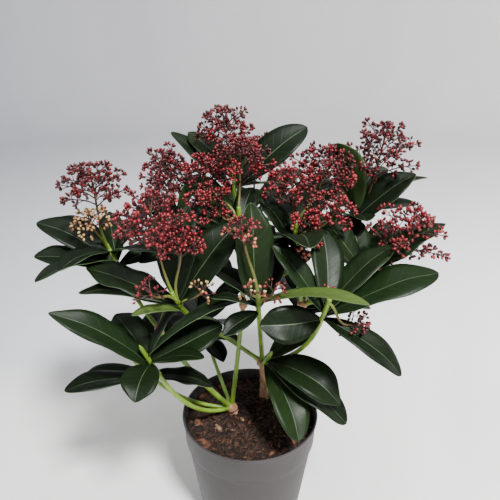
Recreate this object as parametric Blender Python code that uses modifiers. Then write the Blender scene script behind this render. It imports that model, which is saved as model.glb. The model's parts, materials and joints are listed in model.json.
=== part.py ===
"""A skimmia in bud, in its round grey nursery pot.

Metres, +Z up. The origin is the centre of the pot's flat underside and the front is towards -Y.
Places and sizes in the tables are millimetres and degrees, turned into metres by mm() and MM.
Headings turn anticlockwise from +X seen from above, and a lift is the angle above the level.
"""

import math
import random
from dataclasses import dataclass

import bmesh
import bpy
from mathutils import Quaternion, Vector
from mathutils.bvhtree import BVHTree

MM = 0.001
UP = Vector((0.0, 0.0, 1.0))
GOLDEN_TURN = 137.5
# Clear space between neighbouring solids.
GAP = 0.3 * MM

# The pot: a turned plastic shell with a band round its mouth.
POT_HEIGHT = 125.0 * MM
POT_RIM_RADIUS = 65.0 * MM
POT_BAND_HEIGHT = 28.0 * MM
POT_BAND_STEP = 1.8 * MM
POT_BAND_TAPER = 2.4 * MM
POT_FOOT_RADIUS = 48.5 * MM
POT_WALL = 1.6 * MM
POT_FLOOR = 2.2 * MM
POT_LIP = 0.8 * MM
POT_FOOT_BEVEL = 2.0 * MM
POT_STEPS = 36
DRAIN_HOLES = 6
DRAIN_RING_RADIUS = 31.0 * MM
DRAIN_HOLE_RADIUS = 4.5 * MM
DRAIN_SIDES = 8

# The potting mix fills the pot to a finger below the rim and swells a little in the middle.
MIX_TOP = 117.5 * MM
MIX_EDGE_DROP = 2.0 * MM
MIX_FLAT_RADIUS = 42.0 * MM
MIX_STEPS = 28

# Stems and boughs.
LIMB_BEVEL_RESOLUTION = 1
LIMB_SPANS = 4
LIMB_REACH = 0.45

# The stem of each leafy shoot, which starts where its bough ends.
SHOOT_STEM = 30.0 * MM
SHOOT_STEM_RADIUS = 2.5 * MM
STEM_TOP_RADIUS = 2.3 * MM
STALK_RADIUS = 1.6 * MM
STALK_STEP = 4.6 * MM
TWIG_SIDES = 3
STEM_SPANS = 2
STALK_SPANS = 2
WHORL_START = 4.0 * MM
WHORL_DEPTH = 20.0 * MM

# Leaves: oblong, widest past the middle with a short tip, folded a little along the midrib.
LEAF_FORE = 0.85
LEAF_AFT = 0.6
LEAF_THICKNESS = 0.016
LEAF_STALK_WIDTH = 2.0 * MM
LEAF_FOLD = 15.0
LEAF_STATIONS = (0.0, 0.27, 0.6, 0.88, 1.0)
LEAF_OUTER = 0.3
LEAF_ARCH = 26.0
# Turns and lifts that a seeded leaf tries in order where its first place is taken.
LEAF_TRIES = ((0, 0), (0, 14), (14, 6), (-14, 6), (0, -14), (24, -8), (-24, -8), (0, 30))

# Flower heads: side branches round an axis, with a bud on each twig.
AXIS_TOP_RADIUS = 1.3 * MM
BRANCH_RADIUS = 0.8 * MM
TWIG_RADIUS = 0.4 * MM
TWIG_LENGTH = 7.5 * MM
BUD_RADIUS = 3.2 * MM
BUD_LENGTH = 6.5 * MM
BUD_SPACING = 19.0 * MM
BRANCH_SPACING = 9.5 * MM
HEAD_LOW_LIFT = -15.0
HEAD_HIGH_LIFT = 62.0

# The solvers that join a mass, in the order in which they are tried.
UNION_SOLVERS = ("EXACT", "MANIFOLD")


@dataclass(frozen=True)
class Limb:
    """A stem or bough: it leaves its parent's knot at leave (heading, lift) and ends at tip."""

    name: str
    parent: str
    tip: tuple
    leave: tuple
    foot_radius: float
    tip_radius: float
    knot: float = 0.0


@dataclass(frozen=True)
class Leaf:
    """One leaf by the heading and lift of its chord, its length, and its roll about the chord."""

    heading: float
    lift: float
    length: float
    roll: float = 0.0
    arch: float = LEAF_ARCH
    width: float = 0.36


@dataclass(frozen=True)
class Head:
    """A flower head by its middle, width and height."""

    middle: tuple
    width: float
    height: float


@dataclass(frozen=True)
class Shoot:
    """A mass of foliage: a whorl of leaves and flower heads on one stem at the tip of a bough."""

    name: str
    bough: str
    seed: int
    leaves: tuple
    more: int
    heads: tuple = ()
    lean: float = 0.0
    lean_by: float = 0.0


STEMS = (
    Limb("stem_a", "", (-18, 5, 123.1), (-80, 84), 4.6, 4.2, 5.5),
    Limb("stem_b", "", (12, 18, 167), (-70, 84), 4.6, 3.4, 5.5),
)
# Where each stem leaves the mix, as (x, y).
STEM_FEET = {"stem_a": (-17, 7), "stem_b": (14, 26)}

BOUGHS = (
    Limb("bough_left", "stem_a", (-77, -22, 230), (-165, 50), 2.5, 2.2, 4.0),
    Limb("bough_low_left", "stem_a", (-77, -42, 200), (-140, 15), 2.0, 1.9),
    Limb("bough_low_left_outer", "stem_a", (-84, -22, 176), (176, 0), 1.9, 1.8),
    Limb("bough_up", "stem_a", (-6, 8, 236), (55, 78), 2.2, 2.0, 4.0),
    Limb("bough_low_back_left", "stem_a", (-44, 52, 168), (112, 18), 1.9, 1.8),
    Limb("bough_centre", "stem_b", (7, -38, 254), (-100, 72), 2.2, 2.1),
    Limb("bough_front_right", "stem_b", (54, -54, 256), (-40, 30), 2.0, 1.9),
    Limb("bough_right", "stem_b", (46, 2, 240), (10, 48), 2.2, 2.0, 4.4),
    Limb("bough_low_right", "stem_b", (13, -8, 184), (-92, 25), 1.9, 1.8),
    Limb("bough_back", "stem_b", (8, 72, 216), (95, 35), 2.2, 2.0, 4.4),
    Limb("bough_low_back_right", "stem_b", (48, 66, 184), (40, 5), 1.9, 1.8),
    Limb("bough_front_left", "stem_b", (-52, -31, 251), (170, 35), 2.1, 1.9),
    Limb("branch_left_middle", "bough_left", (-58, 36, 262), (70, 45), 1.8, 1.8),
    Limb("branch_left", "bough_left", (-112, 10, 268), (142, 32), 1.8, 1.7),
    Limb("branch_top", "bough_up", (-14, 52, 322), (100, 52), 1.8, 1.7),
    Limb("branch_middle", "bough_up", (-8, 6, 298), (-80, 72), 1.8, 1.7),
    Limb("branch_right", "bough_right", (38, 0, 288), (-170, 76), 1.8, 1.7),
    Limb("branch_right_back", "bough_right", (88, 40, 298), (55, 42), 1.8, 1.7),
    Limb("branch_far_right", "bough_right", (82, -18, 268), (-30, 26), 1.8, 1.7),
    Limb("branch_back_left", "bough_back", (-62, 92, 262), (168, 36), 1.8, 1.7),
    Limb("branch_back", "bough_back", (4, 102, 276), (88, 66), 1.8, 1.7),
    Limb("branch_back_right", "bough_back", (70, 92, 252), (12, 28), 1.8, 1.7),
)

SHOOTS = (
    Shoot(
        "low_left", "bough_low_left", 11,
        (
            Leaf(-166, 42, 98, -30, 26, 0.23),
            Leaf(132, 22, 68, -25, 20, 0.4),
            Leaf(103, 3, 48),
            Leaf(-98, -7, 40, -5, 34, 0.7),
            Leaf(15, 23, 66, 30, 20, 0.42),
            Leaf(56, 23, 54, -30, 30, 0.3),
            Leaf(6, 34, 96, -2, 30, 0.2),
        ), 0, lean=-150, lean_by=10,
    ),
    Shoot(
        "low_left_outer", "bough_low_left_outer", 12,
        (
            Leaf(-155, 11, 74, 0, 20, 0.32),
            Leaf(178, -3, 68, -15, 10, 0.32),
            Leaf(-4, -21, 58),
        ), 2, lean=180, lean_by=15,
    ),
    Shoot(
        "front_left", "bough_front_left", 13,
        (
            Leaf(-138, 19, 48, -10, 34, 0.24),
            Leaf(-176, 16, 81, 0, 20, 0.3),
            Leaf(169, 20, 82, -5, 16, 0.36),
            Leaf(20, 52, 80, 40, 20, 0.4),
            Leaf(75, 68, 76, 0, 20, 0.34),
        ), 0,
        (
            Head((-69, -50, 333), 64, 54),
            Head((-73, -62, 286), 22, 18),
            Head((-50, -52, 318), 36, 26),
            Head((-36, -45, 279), 17, 14),
        ), -150, 8,
    ),
    Shoot(
        "left", "branch_left", 34,
        (
            Leaf(178, 33, 79, -25),
            Leaf(-159, 15, 68, -20),
        ), 3,
        (
            Head((-128, 10, 345), 56, 42),
            Head((-131, 2, 317), 32, 20),
        ), 170, 14,
    ),
    Shoot(
        "left_middle", "branch_left_middle", 15,
        (Leaf(171, 63, 74, -25), Leaf(8, 58, 42), Leaf(78, 25, 80)), 3,
        (Head((-74, 50, 343), 42, 54),), 150, 8,
    ),
    Shoot(
        "top", "branch_top", 16,
        (
            Leaf(151, 38, 84, -5, 20, 0.26),
            Leaf(8, 40, 84, 40, 20, 0.38),
            Leaf(63, 63, 42, -5, 10, 0.44),
        ), 0,
        (Head((-22, 60, 382), 50, 40),), 90, 8,
    ),
    Shoot(
        "middle", "branch_middle", 17,
        (Leaf(-159, 31, 54, -45), Leaf(137, 30, 73, -10), Leaf(-178, -10, 46, -35, 20, 0.42)), 0,
        (
            Head((-8, 18, 362), 60, 46),
            Head((-31, 0, 331), 46, 38),
            Head((-38, 30, 350), 42, 36),
        ), 0, 0,
    ),
    Shoot(
        "centre_front", "bough_centre", 18,
        (
            Leaf(-135, -5, 38, -15, 24, 0.42),
            Leaf(130, 72, 86, -15, 12, 0.34),
            Leaf(53, 54, 60, 0, 20, 0.38),
            Leaf(-172, 6, 38, 0, 24, 0.34),
            Leaf(-35, 18, 92, 15, 40, 0.135),
        ), 1,
        (
            Head((-5, -56, 329), 28, 26),
            Head((0, -66, 289), 15, 12),
            Head((17, -62, 286), 17, 13),
        ),
        -90, 8,
    ),
    Shoot(
        "right", "branch_right", 19,
        (Leaf(180, 58, 55, -30), Leaf(19, 23, 40), Leaf(80, 20, 78)), 2,
        (
            Head((61, 12, 358), 56, 46),
            Head((33, -10, 347), 44, 40),
            Head((45, -25, 319), 38, 32),
            Head((66, -14, 331), 34, 30),
        ),
        -60, 4,
    ),
    Shoot(
        "right_back", "branch_right_back", 20,
        (Leaf(-6, 44, 71, 40, 20, 0.4), Leaf(-127, -2, 44), Leaf(60, 24, 84)), 3,
        (Head((111, 40, 362), 60, 70),), 20, 12,
    ),
    Shoot(
        "far_right", "branch_far_right", 21,
        (
            Leaf(6, 37, 87, 5, 26, 0.38),
            Leaf(58, 17, 85, 20),
            Leaf(98, 40, 60),
        ), 1,
        (
            Head((124, -22, 313), 64, 50),
            Head((109, -36, 286), 22, 16),
        ), -20, 16,
    ),
    Shoot(
        "front_right", "bough_front_right", 22,
        (
            Leaf(-163, 18, 49, -60, 16, 0.56),
            Leaf(-22, -28, 72, 20, 34, 0.3),
            Leaf(1, 26, 89, 5, 20, 0.36),
            Leaf(157, 50, 64, -25, 20, 0.28),
            Leaf(30, 20, 74, 0, 20, 0.34),
            Leaf(90, 45, 65, 15, 20, 0.38),
        ), 0,
        (
            Head((79, -62, 258), 27, 22),
            Head((56, -56, 281), 12, 12),
        ), -70, 10,
    ),
    Shoot(
        "low_right", "bough_low_right", 23,
        (
            Leaf(-64, -29, 73, -5, 30, 0.42),
            Leaf(-29, -23, 86, 10, 40, 0.34),
            Leaf(-18, -17, 73, 15, 50, 0.44),
            Leaf(32, -2, 56, 25, 26, 0.4),
        ), 0, lean=-60, lean_by=14,
    ),
    Shoot(
        "low_back_left", "bough_low_back_left", 24,
        (Leaf(-66, 4, 50), Leaf(-30, 10, 44), Leaf(150, 4, 76), Leaf(105, 0, 80)), 1,
        lean=130, lean_by=16,
    ),
    Shoot(
        "low_back_right", "bough_low_back_right", 25,
        (Leaf(60, 2, 82), Leaf(10, 4, 80), Leaf(100, 6, 74)), 2, lean=45, lean_by=16,
    ),
    Shoot(
        "back_left", "branch_back_left", 26, (), 6,
        (Head((-80, 108, 326), 58, 52),), 130, 18,
    ),
    Shoot(
        "back", "branch_back", 27, (), 6,
        (Head((6, 118, 342), 62, 54),), 90, 16,
    ),
    Shoot(
        "back_right", "branch_back_right", 28, (), 6,
        (Head((92, 106, 316), 60, 50),), 45, 18,
    ),
)


def mm(place):
    """A place in millimetres as a vector in metres."""
    return Vector(place) * MM


def pointing(heading, lift):
    """The unit vector with this heading and lift, in degrees."""
    heading = math.radians(heading)
    lift = math.radians(lift)
    return Vector((
        math.cos(heading) * math.cos(lift),
        math.sin(heading) * math.cos(lift),
        math.sin(lift),
    ))


def across(direction):
    """Two unit vectors square to a direction and to each other, the second one upward."""
    side = direction.cross(UP)
    if side.length < 0.05:
        side = Vector((1.0, 0.0, 0.0))
    side.normalize()
    return side, side.cross(direction).normalized()


def bend(start, control, end, t):
    """The point at t on a curve that leaves start for control and arrives at end from it."""
    return start * (1 - t) ** 2 + control * (2 * t * (1 - t)) + end * t ** 2


def bend_points(start, direction, end, spans, reach=LIMB_REACH):
    """Points along a bend from start, which it leaves along direction, to end."""
    control = start + direction * ((end - start).length * reach)
    return [bend(start, control, end, i / spans) for i in range(spans + 1)]


def new_material(name, colour, roughness, metallic=0.0):
    """A plain Principled material."""
    material = bpy.data.materials.new(name)
    material.use_nodes = True
    shader = material.node_tree.nodes["Principled BSDF"]
    shader.inputs["Base Color"].default_value = (*colour, 1.0)
    shader.inputs["Roughness"].default_value = roughness
    shader.inputs["Metallic"].default_value = metallic
    material.diffuse_color = (*colour, 1.0)
    return material


def new_collection(name, hidden=False):
    """A collection in the scene. A hidden one holds cutters."""
    collection = bpy.data.collections.new(name)
    collection.hide_render = hidden
    bpy.context.scene.collection.children.link(collection)
    return collection


def add_object(name, data, collection, material=None):
    """An object with this mesh or curve in the collection."""
    obj = bpy.data.objects.new(name, data)
    collection.objects.link(obj)
    if material:
        data.materials.append(material)
    return obj


def turned(name, profile, steps, collection, material):
    """A body turned about Z from profile points (radius, height), outer side from the top down."""
    mesh = bpy.data.meshes.new(name)
    points = [(radius, 0.0, height) for radius, height in profile]
    mesh.from_pydata(points, [(i, i + 1) for i in range(len(points) - 1)], [])
    obj = add_object(name, mesh, collection, material)
    screw = obj.modifiers.new("Turn", "SCREW")
    screw.axis = "Z"
    screw.angle = math.tau
    screw.steps = steps
    screw.render_steps = steps
    screw.use_merge_vertices = True
    screw.merge_threshold = 0.01 * MM
    screw.use_smooth_shade = True
    return obj


def pot_inner_radius(height):
    """The radius of the pot's inner wall at a height."""
    band_foot = POT_HEIGHT - POT_BAND_HEIGHT
    body_top = POT_RIM_RADIUS - POT_BAND_TAPER - POT_BAND_STEP - POT_WALL
    body_foot = POT_FOOT_RADIUS - POT_WALL
    if height <= band_foot:
        return body_foot + (body_top - body_foot) * height / band_foot
    rise = (height - band_foot) / POT_BAND_HEIGHT
    return body_top + (POT_RIM_RADIUS - POT_WALL - body_top) * rise


def build_pot(collection, cutters):
    """The pot: body, band, lip and floor in one wall, with drain holes round the middle."""
    band_foot = POT_HEIGHT - POT_BAND_HEIGHT
    band_radius = POT_RIM_RADIUS - POT_BAND_TAPER
    profile = [
        (POT_RIM_RADIUS - POT_LIP, POT_HEIGHT),
        (POT_RIM_RADIUS, POT_HEIGHT - POT_LIP),
        (POT_RIM_RADIUS - POT_LIP, POT_HEIGHT - 3 * POT_LIP),
        (band_radius, band_foot + POT_BAND_STEP),
        (band_radius - POT_BAND_STEP, band_foot),
        (POT_FOOT_RADIUS, POT_FOOT_BEVEL),
        (POT_FOOT_RADIUS - POT_FOOT_BEVEL, 0.0),
        (0.0, 0.0),
        (0.0, POT_FLOOR),
        (pot_inner_radius(POT_FLOOR) - POT_FOOT_BEVEL, POT_FLOOR),
        (pot_inner_radius(2 * POT_FLOOR), 2 * POT_FLOOR),
        (pot_inner_radius(band_foot), band_foot),
        (POT_RIM_RADIUS - POT_WALL, POT_HEIGHT - POT_LIP),
        (POT_RIM_RADIUS - POT_LIP, POT_HEIGHT),
    ]
    plastic = new_material("pot_plastic", (0.22, 0.20, 0.20), 0.55)
    pot = turned("pot", profile, POT_STEPS, collection, plastic)
    for index in range(DRAIN_HOLES):
        turn = math.tau * index / DRAIN_HOLES
        place = Vector((math.cos(turn), math.sin(turn), 0.0)) * DRAIN_RING_RADIUS
        cutter_mesh = bpy.data.meshes.new("drain_hole")
        shape = bmesh.new()
        bmesh.ops.create_cone(
            shape, cap_ends=True, segments=DRAIN_SIDES, depth=4 * POT_FLOOR,
            radius1=DRAIN_HOLE_RADIUS, radius2=DRAIN_HOLE_RADIUS,
        )
        bmesh.ops.translate(shape, verts=shape.verts, vec=place)
        shape.to_mesh(cutter_mesh)
        shape.free()
        cutter = add_object(f"drain_hole_{index + 1}", cutter_mesh, cutters)
        cutter.hide_render = True
        cutter.display_type = "WIRE"
    cut = pot.modifiers.new("Drain holes", "BOOLEAN")
    cut.operation = "DIFFERENCE"
    cut.operand_type = "COLLECTION"
    cut.collection = cutters
    return pot


def build_mix(collection):
    """The potting mix, clear of the pot's wall and floor by the gap."""
    edge_height = MIX_TOP - MIX_EDGE_DROP
    foot = POT_FLOOR + GAP
    profile = [
        (0.0, MIX_TOP),
        (MIX_FLAT_RADIUS, MIX_TOP),
        (pot_inner_radius(edge_height) - 2 * GAP, edge_height),
        (pot_inner_radius(POT_HEIGHT - POT_BAND_HEIGHT) - GAP, POT_HEIGHT - POT_BAND_HEIGHT),
        (pot_inner_radius(2 * POT_FLOOR) - GAP, 2 * POT_FLOOR + GAP),
        (pot_inner_radius(foot) - POT_FOOT_BEVEL - 2 * GAP, foot),
        (0.0, foot),
    ]
    earth = new_material("potting_mix", (0.045, 0.025, 0.016), 0.95)
    return turned("potting_mix", profile, MIX_STEPS, collection, earth)


def limb_line(limb, foot, direction):
    """The centre line of a limb as (point, radius) pairs, with the knot that ends a forked one."""
    tip = mm(limb.tip)
    points = bend_points(foot, direction, tip, LIMB_SPANS)
    arrival = (points[-1] - points[-2]).normalized()
    foot_radius = limb.foot_radius * MM
    tip_radius = limb.tip_radius * MM
    line = []
    for index, point in enumerate(points):
        part = index / LIMB_SPANS
        line.append((point, foot_radius + (tip_radius - foot_radius) * part))
    if limb.knot:
        knot = limb.knot * MM
        line = [pair for pair in line if (pair[0] - tip).length > 1.2 * knot]
        for along, size in ((-0.8, 0.6), (0.0, 1.0), (0.65, 0.76), (0.94, 0.3)):
            line.append((tip + arrival * (along * knot), size * knot))
    return line, arrival


def build_limb(limb, foot, direction, collection, material):
    """A limb as a tapering tube. Returns its object and the direction in which it arrives."""
    line, arrival = limb_line(limb, foot, direction)
    curve = bpy.data.curves.new(limb.name, "CURVE")
    curve.dimensions = "3D"
    curve.bevel_depth = MM
    curve.bevel_resolution = LIMB_BEVEL_RESOLUTION
    curve.use_fill_caps = True
    spline = curve.splines.new("POLY")
    spline.points.add(len(line) - 1)
    for point, (place, radius) in zip(spline.points, line):
        point.co = (*place, 1.0)
        point.radius = radius / MM
    return add_object(limb.name, curve, collection, material), arrival


def shape_of(obj):
    """The points and faces of an object as it is evaluated."""
    evaluated = obj.evaluated_get(bpy.context.evaluated_depsgraph_get())
    mesh = evaluated.to_mesh()
    points = [vertex.co.copy() for vertex in mesh.vertices]
    faces = [tuple(polygon.vertices) for polygon in mesh.polygons]
    evaluated.to_mesh_clear()
    return points, faces


class Space:
    """What is already placed, so that a new twig or leaf keeps clear of the other solids."""

    def __init__(self):
        self.taken = []

    def add(self, owner, shape):
        """Notes a shape as placed by its owner."""
        points, faces = shape
        low = [min(point[axis] for point in points) for axis in range(3)]
        high = [max(point[axis] for point in points) for axis in range(3)]
        self.taken.append((owner, low, high, BVHTree.FromPolygons(points, faces)))

    def is_free(self, shape, own):
        """Whether a shape touches nothing but what the owners in own have placed."""
        points, faces = shape
        low = [min(point[axis] for point in points) for axis in range(3)]
        high = [max(point[axis] for point in points) for axis in range(3)]
        tree = BVHTree.FromPolygons(points, faces)
        for owner, other_low, other_high, other in self.taken:
            if owner in own:
                continue
            apart = any(
                low[axis] > other_high[axis] or high[axis] < other_low[axis] for axis in range(3)
            )
            if not apart and tree.overlap(other):
                return False
        return True


def loft(rings, flat_sides=False):
    """A closed shape through rings of points. A single point is a sharp end.

    Sides that aren't flat are cut into triangles.
    """
    points = [point for ring in rings for point in ring]
    faces = []
    start = 0
    for ring, after in zip(rings, rings[1:]):
        next_start = start + len(ring)
        count = max(len(ring), len(after))
        for i in range(count):
            j = (i + 1) % count
            a, b = start + i, start + j
            c, d = next_start + j, next_start + i
            if len(after) == 1:
                faces.append((a, b, next_start))
            elif len(ring) == 1:
                faces.append((start, c, d))
            elif flat_sides:
                faces.append((a, b, c, d))
            else:
                faces += [(a, b, c), (a, c, d)]
        start = next_start
    if len(rings[0]) > 1:
        faces.append(tuple(reversed(range(len(rings[0])))))
    if len(rings[-1]) > 1:
        faces.append(tuple(range(start, start + len(rings[-1]))))
    return points, faces


def tube(line, sides, swell=0.0, aim=None):
    """A tube of few sides along (point, radius) pairs. A radius of 0 makes a sharp end.

    Its first ring is square to aim, where that is given, and else to its own line.
    """
    rings = []
    for index, (place, radius) in enumerate(line):
        before = line[max(index - 1, 0)][0]
        after = line[min(index + 1, len(line) - 1)][0]
        direction = (after - before).normalized()
        if index == 0 and aim:
            direction = aim
        side, rise = across(direction)
        if radius == 0.0:
            rings.append([place])
            continue
        size = radius + swell
        ring = []
        for step in range(sides):
            turn = math.tau * step / sides
            ring.append(place + (side * math.cos(turn) - rise * math.sin(turn)) * size)
        rings.append(ring)
    return loft(rings, flat_sides=True)


def blade_width(part):
    """The width of a leaf at a part of its length, as a share of its greatest width."""
    widest = LEAF_FORE / (LEAF_FORE + LEAF_AFT)
    return (part / widest) ** LEAF_FORE * ((1 - part) / (1 - widest)) ** LEAF_AFT


def blade(root, leaf, start=0.0, swell=0.0):
    """A leaf from its root: four-cornered sections, edge, top, edge and keel, to a sharp tip."""
    chord = pointing(leaf.heading, leaf.lift)
    side, rise = across(chord)
    roll = Quaternion(chord, math.radians(leaf.roll))
    side.rotate(roll)
    rise.rotate(roll)
    length = leaf.length * MM
    crown = math.radians(leaf.arch) / 8 * length
    half_thick = LEAF_THICKNESS * length / 2 + swell
    fold = math.radians(LEAF_FOLD)
    rings = []
    for station in LEAF_STATIONS:
        part = max(station, start)
        if station < start and rings:
            continue
        place = root + chord * (length * part) + rise * (4 * crown * part * (1 - part))
        if part == 1.0:
            rings.append([place])
            continue
        slope = rise * (4 * crown * (1 - 2 * part)) + chord * length
        normal = side.cross(slope).normalized()
        wide = max(leaf.width * length * blade_width(part), LEAF_STALK_WIDTH) / 2 + swell
        edge_rise = normal * (wide * math.sin(fold))
        edge_out = side * (wide * math.cos(fold))
        rings.append([
            place + edge_rise + edge_out,
            place - normal * half_thick,
            place + edge_rise - edge_out,
            place + normal * half_thick,
        ])
    return loft(rings)


def drop_scraps(mesh):
    """Keeps the largest body of a mesh, and says whether each of its edges joins two faces."""
    shape = bmesh.new()
    shape.from_mesh(mesh)
    left = set(shape.faces)
    bodies = []
    while left:
        body = []
        edge_of_body = [left.pop()]
        while edge_of_body:
            face = edge_of_body.pop()
            body.append(face)
            for edge in face.edges:
                for other in edge.link_faces:
                    if other in left:
                        left.remove(other)
                        edge_of_body.append(other)
        bodies.append(body)
    bodies.sort(key=len, reverse=True)
    for body in bodies[1:]:
        bmesh.ops.delete(shape, geom=body, context="FACES")
    sound = all(edge.is_manifold for edge in shape.edges)
    shape.to_mesh(mesh)
    shape.free()
    return sound


class Mass:
    """One mass of foliage, gathered as shapes that touch and then fused into one solid."""

    def __init__(self, shoot, foot, direction, space):
        self.shoot = shoot
        self.space = space
        self.rng = random.Random(shoot.seed)
        self.shapes = []
        self.blades = shoot.name + " blades"
        self.buds = shoot.name + " buds"
        self.heads = []
        self.foot = foot + direction * GAP
        self.grow_stem(direction)

    def place(self, shape):
        """Keeps a shape and notes the space that it takes."""
        self.shapes.append(shape)
        self.space.add(self.shoot.name, shape)

    def grow_stem(self, direction):
        """The stem that carries the whorl, from the bough's tip the way that the shoot leans."""
        goal = pointing(self.shoot.lean, 90 - 2 * self.shoot.lean_by)
        top = self.foot + (direction + goal).normalized() * SHOOT_STEM
        self.stem = bend_points(self.foot, direction, top, STEM_SPANS)
        self.stem_direction = (self.stem[-1] - self.stem[-2]).normalized()
        line = [(point, SHOOT_STEM_RADIUS) for point in self.stem[:-1]]
        line[0] = (self.foot, SHOOT_STEM_RADIUS * 0.9)
        line.append((self.stem[-1], STEM_TOP_RADIUS))
        if not self.shoot.heads:
            line.append((self.stem[-1] + self.stem_direction * 2 * STEM_TOP_RADIUS, 0.0))
        self.place(tube(line, TWIG_SIDES, aim=direction))

    def stem_point(self, height):
        """The point on the stem at a height above its foot."""
        span = min(height / SHOOT_STEM, 0.999) * (len(self.stem) - 1)
        index = int(span)
        return self.stem[index].lerp(self.stem[index + 1], span - index)

    def try_leaf(self, leaf, root):
        """Places a leaf, turned or lifted a little where its own place is taken, or skips it."""
        for turn, lift in LEAF_TRIES:
            moved = Leaf(
                leaf.heading + turn, leaf.lift + lift, leaf.length, leaf.roll, leaf.arch, leaf.width
            )
            outer = blade(root, moved, LEAF_OUTER, 2 * GAP)
            if not self.space.is_free(outer, (self.shoot.name,)):
                continue
            if self.space.is_free(blade(root, moved, 0.0, GAP), (self.shoot.name, self.blades)):
                self.shapes.append(blade(root, moved))
                self.space.add(self.blades, blade(root, moved, LEAF_OUTER))
                self.space.add(self.shoot.name, blade(root, moved))
                return True
        return False

    def grow_known_leaves(self):
        """The leaves that show plainly, in their own places."""
        count = len(self.shoot.leaves) + self.shoot.more
        for index, leaf in enumerate(self.shoot.leaves):
            root = self.stem_point(WHORL_START + WHORL_DEPTH * index / count)
            self.try_leaf(leaf, root)

    def grow_more_leaves(self):
        """The rest of the whorl by the golden angle, lower leaves level and upper ones raised."""
        known = len(self.shoot.leaves)
        count = known + self.shoot.more
        heading = self.rng.uniform(0, 360)
        for index in range(known, count):
            rise = index / max(count - 1, 1)
            heading += GOLDEN_TURN
            tilt = self.shoot.lean_by * math.cos(math.radians(heading - self.shoot.lean))
            leaf = Leaf(
                heading,
                2 + 28 * rise - tilt + self.rng.uniform(-6, 6),
                self.rng.uniform(70, 88) * (1 - 0.12 * rise),
                self.rng.uniform(-15, 15),
                self.rng.uniform(18, 36),
                self.rng.uniform(0.33, 0.39),
            )
            self.try_leaf(leaf, self.stem_point(WHORL_START + WHORL_DEPTH * index / count))

    def grow_stalks(self):
        """A stalk for each flower head, which runs on as its axis, unless its way is taken."""
        for order, head in enumerate(self.shoot.heads):
            middle = mm(head.middle)
            half_height = head.height * MM / 2
            root = self.stem_point(SHOOT_STEM - STALK_STEP * (order + 1))
            axis = ((middle - root).normalized() * 0.6 + UP * 0.4).normalized()
            base = middle - axis * half_height
            stalk = bend_points(root, self.stem_direction, base, STALK_SPANS)
            line = [(point, STALK_RADIUS) for point in stalk]
            line.append((middle + axis * (half_height * 0.55), AXIS_TOP_RADIUS))
            if self.space.is_free(tube(line, TWIG_SIDES, GAP), (self.shoot.name,)):
                self.place(tube(line, TWIG_SIDES))
                self.heads.append((head, middle, axis))

    def grow_heads(self):
        """The side branches of each flower head by the golden angle, level ones first."""
        for head, middle, axis in self.heads:
            half_width = head.width * MM / 2
            half_height = head.height * MM / 2
            base = middle - axis * half_height
            side, rise = across(axis)
            count = max(4, round(head.width * MM / BRANCH_SPACING))
            phase = self.rng.uniform(0, 360)
            for index in range(count):
                part = index / (count - 1)
                turn = math.radians(phase + GOLDEN_TURN * index)
                out = side * math.cos(turn) + rise * math.sin(turn)
                lift = math.radians(HEAD_LOW_LIFT + (HEAD_HIGH_LIFT - HEAD_LOW_LIFT) * part)
                reach = self.rng.uniform(0.82, 1.0)
                tip = (
                    middle
                    + out * (math.cos(lift) * half_width * reach)
                    + axis * (math.sin(lift) * half_height * reach)
                )
                start = base + axis * (half_height * (0.15 + 1.15 * part))
                self.grow_branch(start, tip, axis)
            top = middle + axis * (half_height * 0.5)
            self.grow_bud(top, axis, half_height * 0.5, TWIG_RADIUS)

    def grow_branch(self, start, tip, axis):
        """A side branch that ends in a bud, with budded twigs on alternate sides of it."""
        along = tip - start
        outward = along.normalized()
        if not self.grow_bud(start, outward, along.length, BRANCH_RADIUS):
            return
        side = outward.cross(axis).normalized()
        for index in range(round(along.length / BUD_SPACING)):
            part = 0.75 - 0.3 * index
            sway = 0.75 if index % 2 else -0.75
            direction = (outward * 0.6 + side * sway + axis * 0.45).normalized()
            self.grow_bud(start.lerp(tip, part), direction, TWIG_LENGTH, TWIG_RADIUS)

    def grow_bud(self, root, direction, length, radius):
        """A twig of this length that ends in a flower bud. Says whether there was room for it."""
        neck = root + direction * (length - BUD_LENGTH * 0.5)
        line = (
            (root, radius),
            (neck, TWIG_RADIUS),
            (neck + direction * (BUD_LENGTH * 0.5), BUD_RADIUS),
            (neck + direction * BUD_LENGTH, 0.0),
        )
        bud = tube(line[1:], TWIG_SIDES, GAP)
        whole = tube(line, TWIG_SIDES, GAP)
        own = self.shoot.name
        if not self.space.is_free(bud, (own,)):
            return False
        if not self.space.is_free(whole, (own, self.buds)):
            return False
        self.shapes.append(tube(line, TWIG_SIDES))
        self.space.add(self.buds, tube(line[1:], TWIG_SIDES))
        return True

    def fuse(self, collection, material):
        """One solid from all the shapes, by one union on a collection of them."""
        bits = bpy.data.collections.new(self.shoot.name + " bits")
        bpy.context.scene.collection.children.link(bits)
        objects = []
        for points, faces in self.shapes:
            mesh = bpy.data.meshes.new(self.shoot.name)
            mesh.from_pydata(points, [], faces)
            objects.append(bpy.data.objects.new(self.shoot.name + " bit", mesh))
        body = objects[0]
        body.name = self.shoot.name
        collection.objects.link(body)
        for bit in objects[1:]:
            bits.objects.link(bit)
        union = body.modifiers.new("Union", "BOOLEAN")
        union.operation = "UNION"
        union.operand_type = "COLLECTION"
        union.collection = bits
        for solver in UNION_SOLVERS:
            union.solver = solver
            evaluated = body.evaluated_get(bpy.context.evaluated_depsgraph_get())
            mesh = bpy.data.meshes.new_from_object(evaluated)
            if drop_scraps(mesh):
                break
        body.modifiers.clear()
        body.data = mesh
        mesh.materials.clear()
        mesh.materials.append(material)
        for bit in objects[1:]:
            bpy.data.objects.remove(bit)
        bpy.data.collections.remove(bits)
        return body


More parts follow.
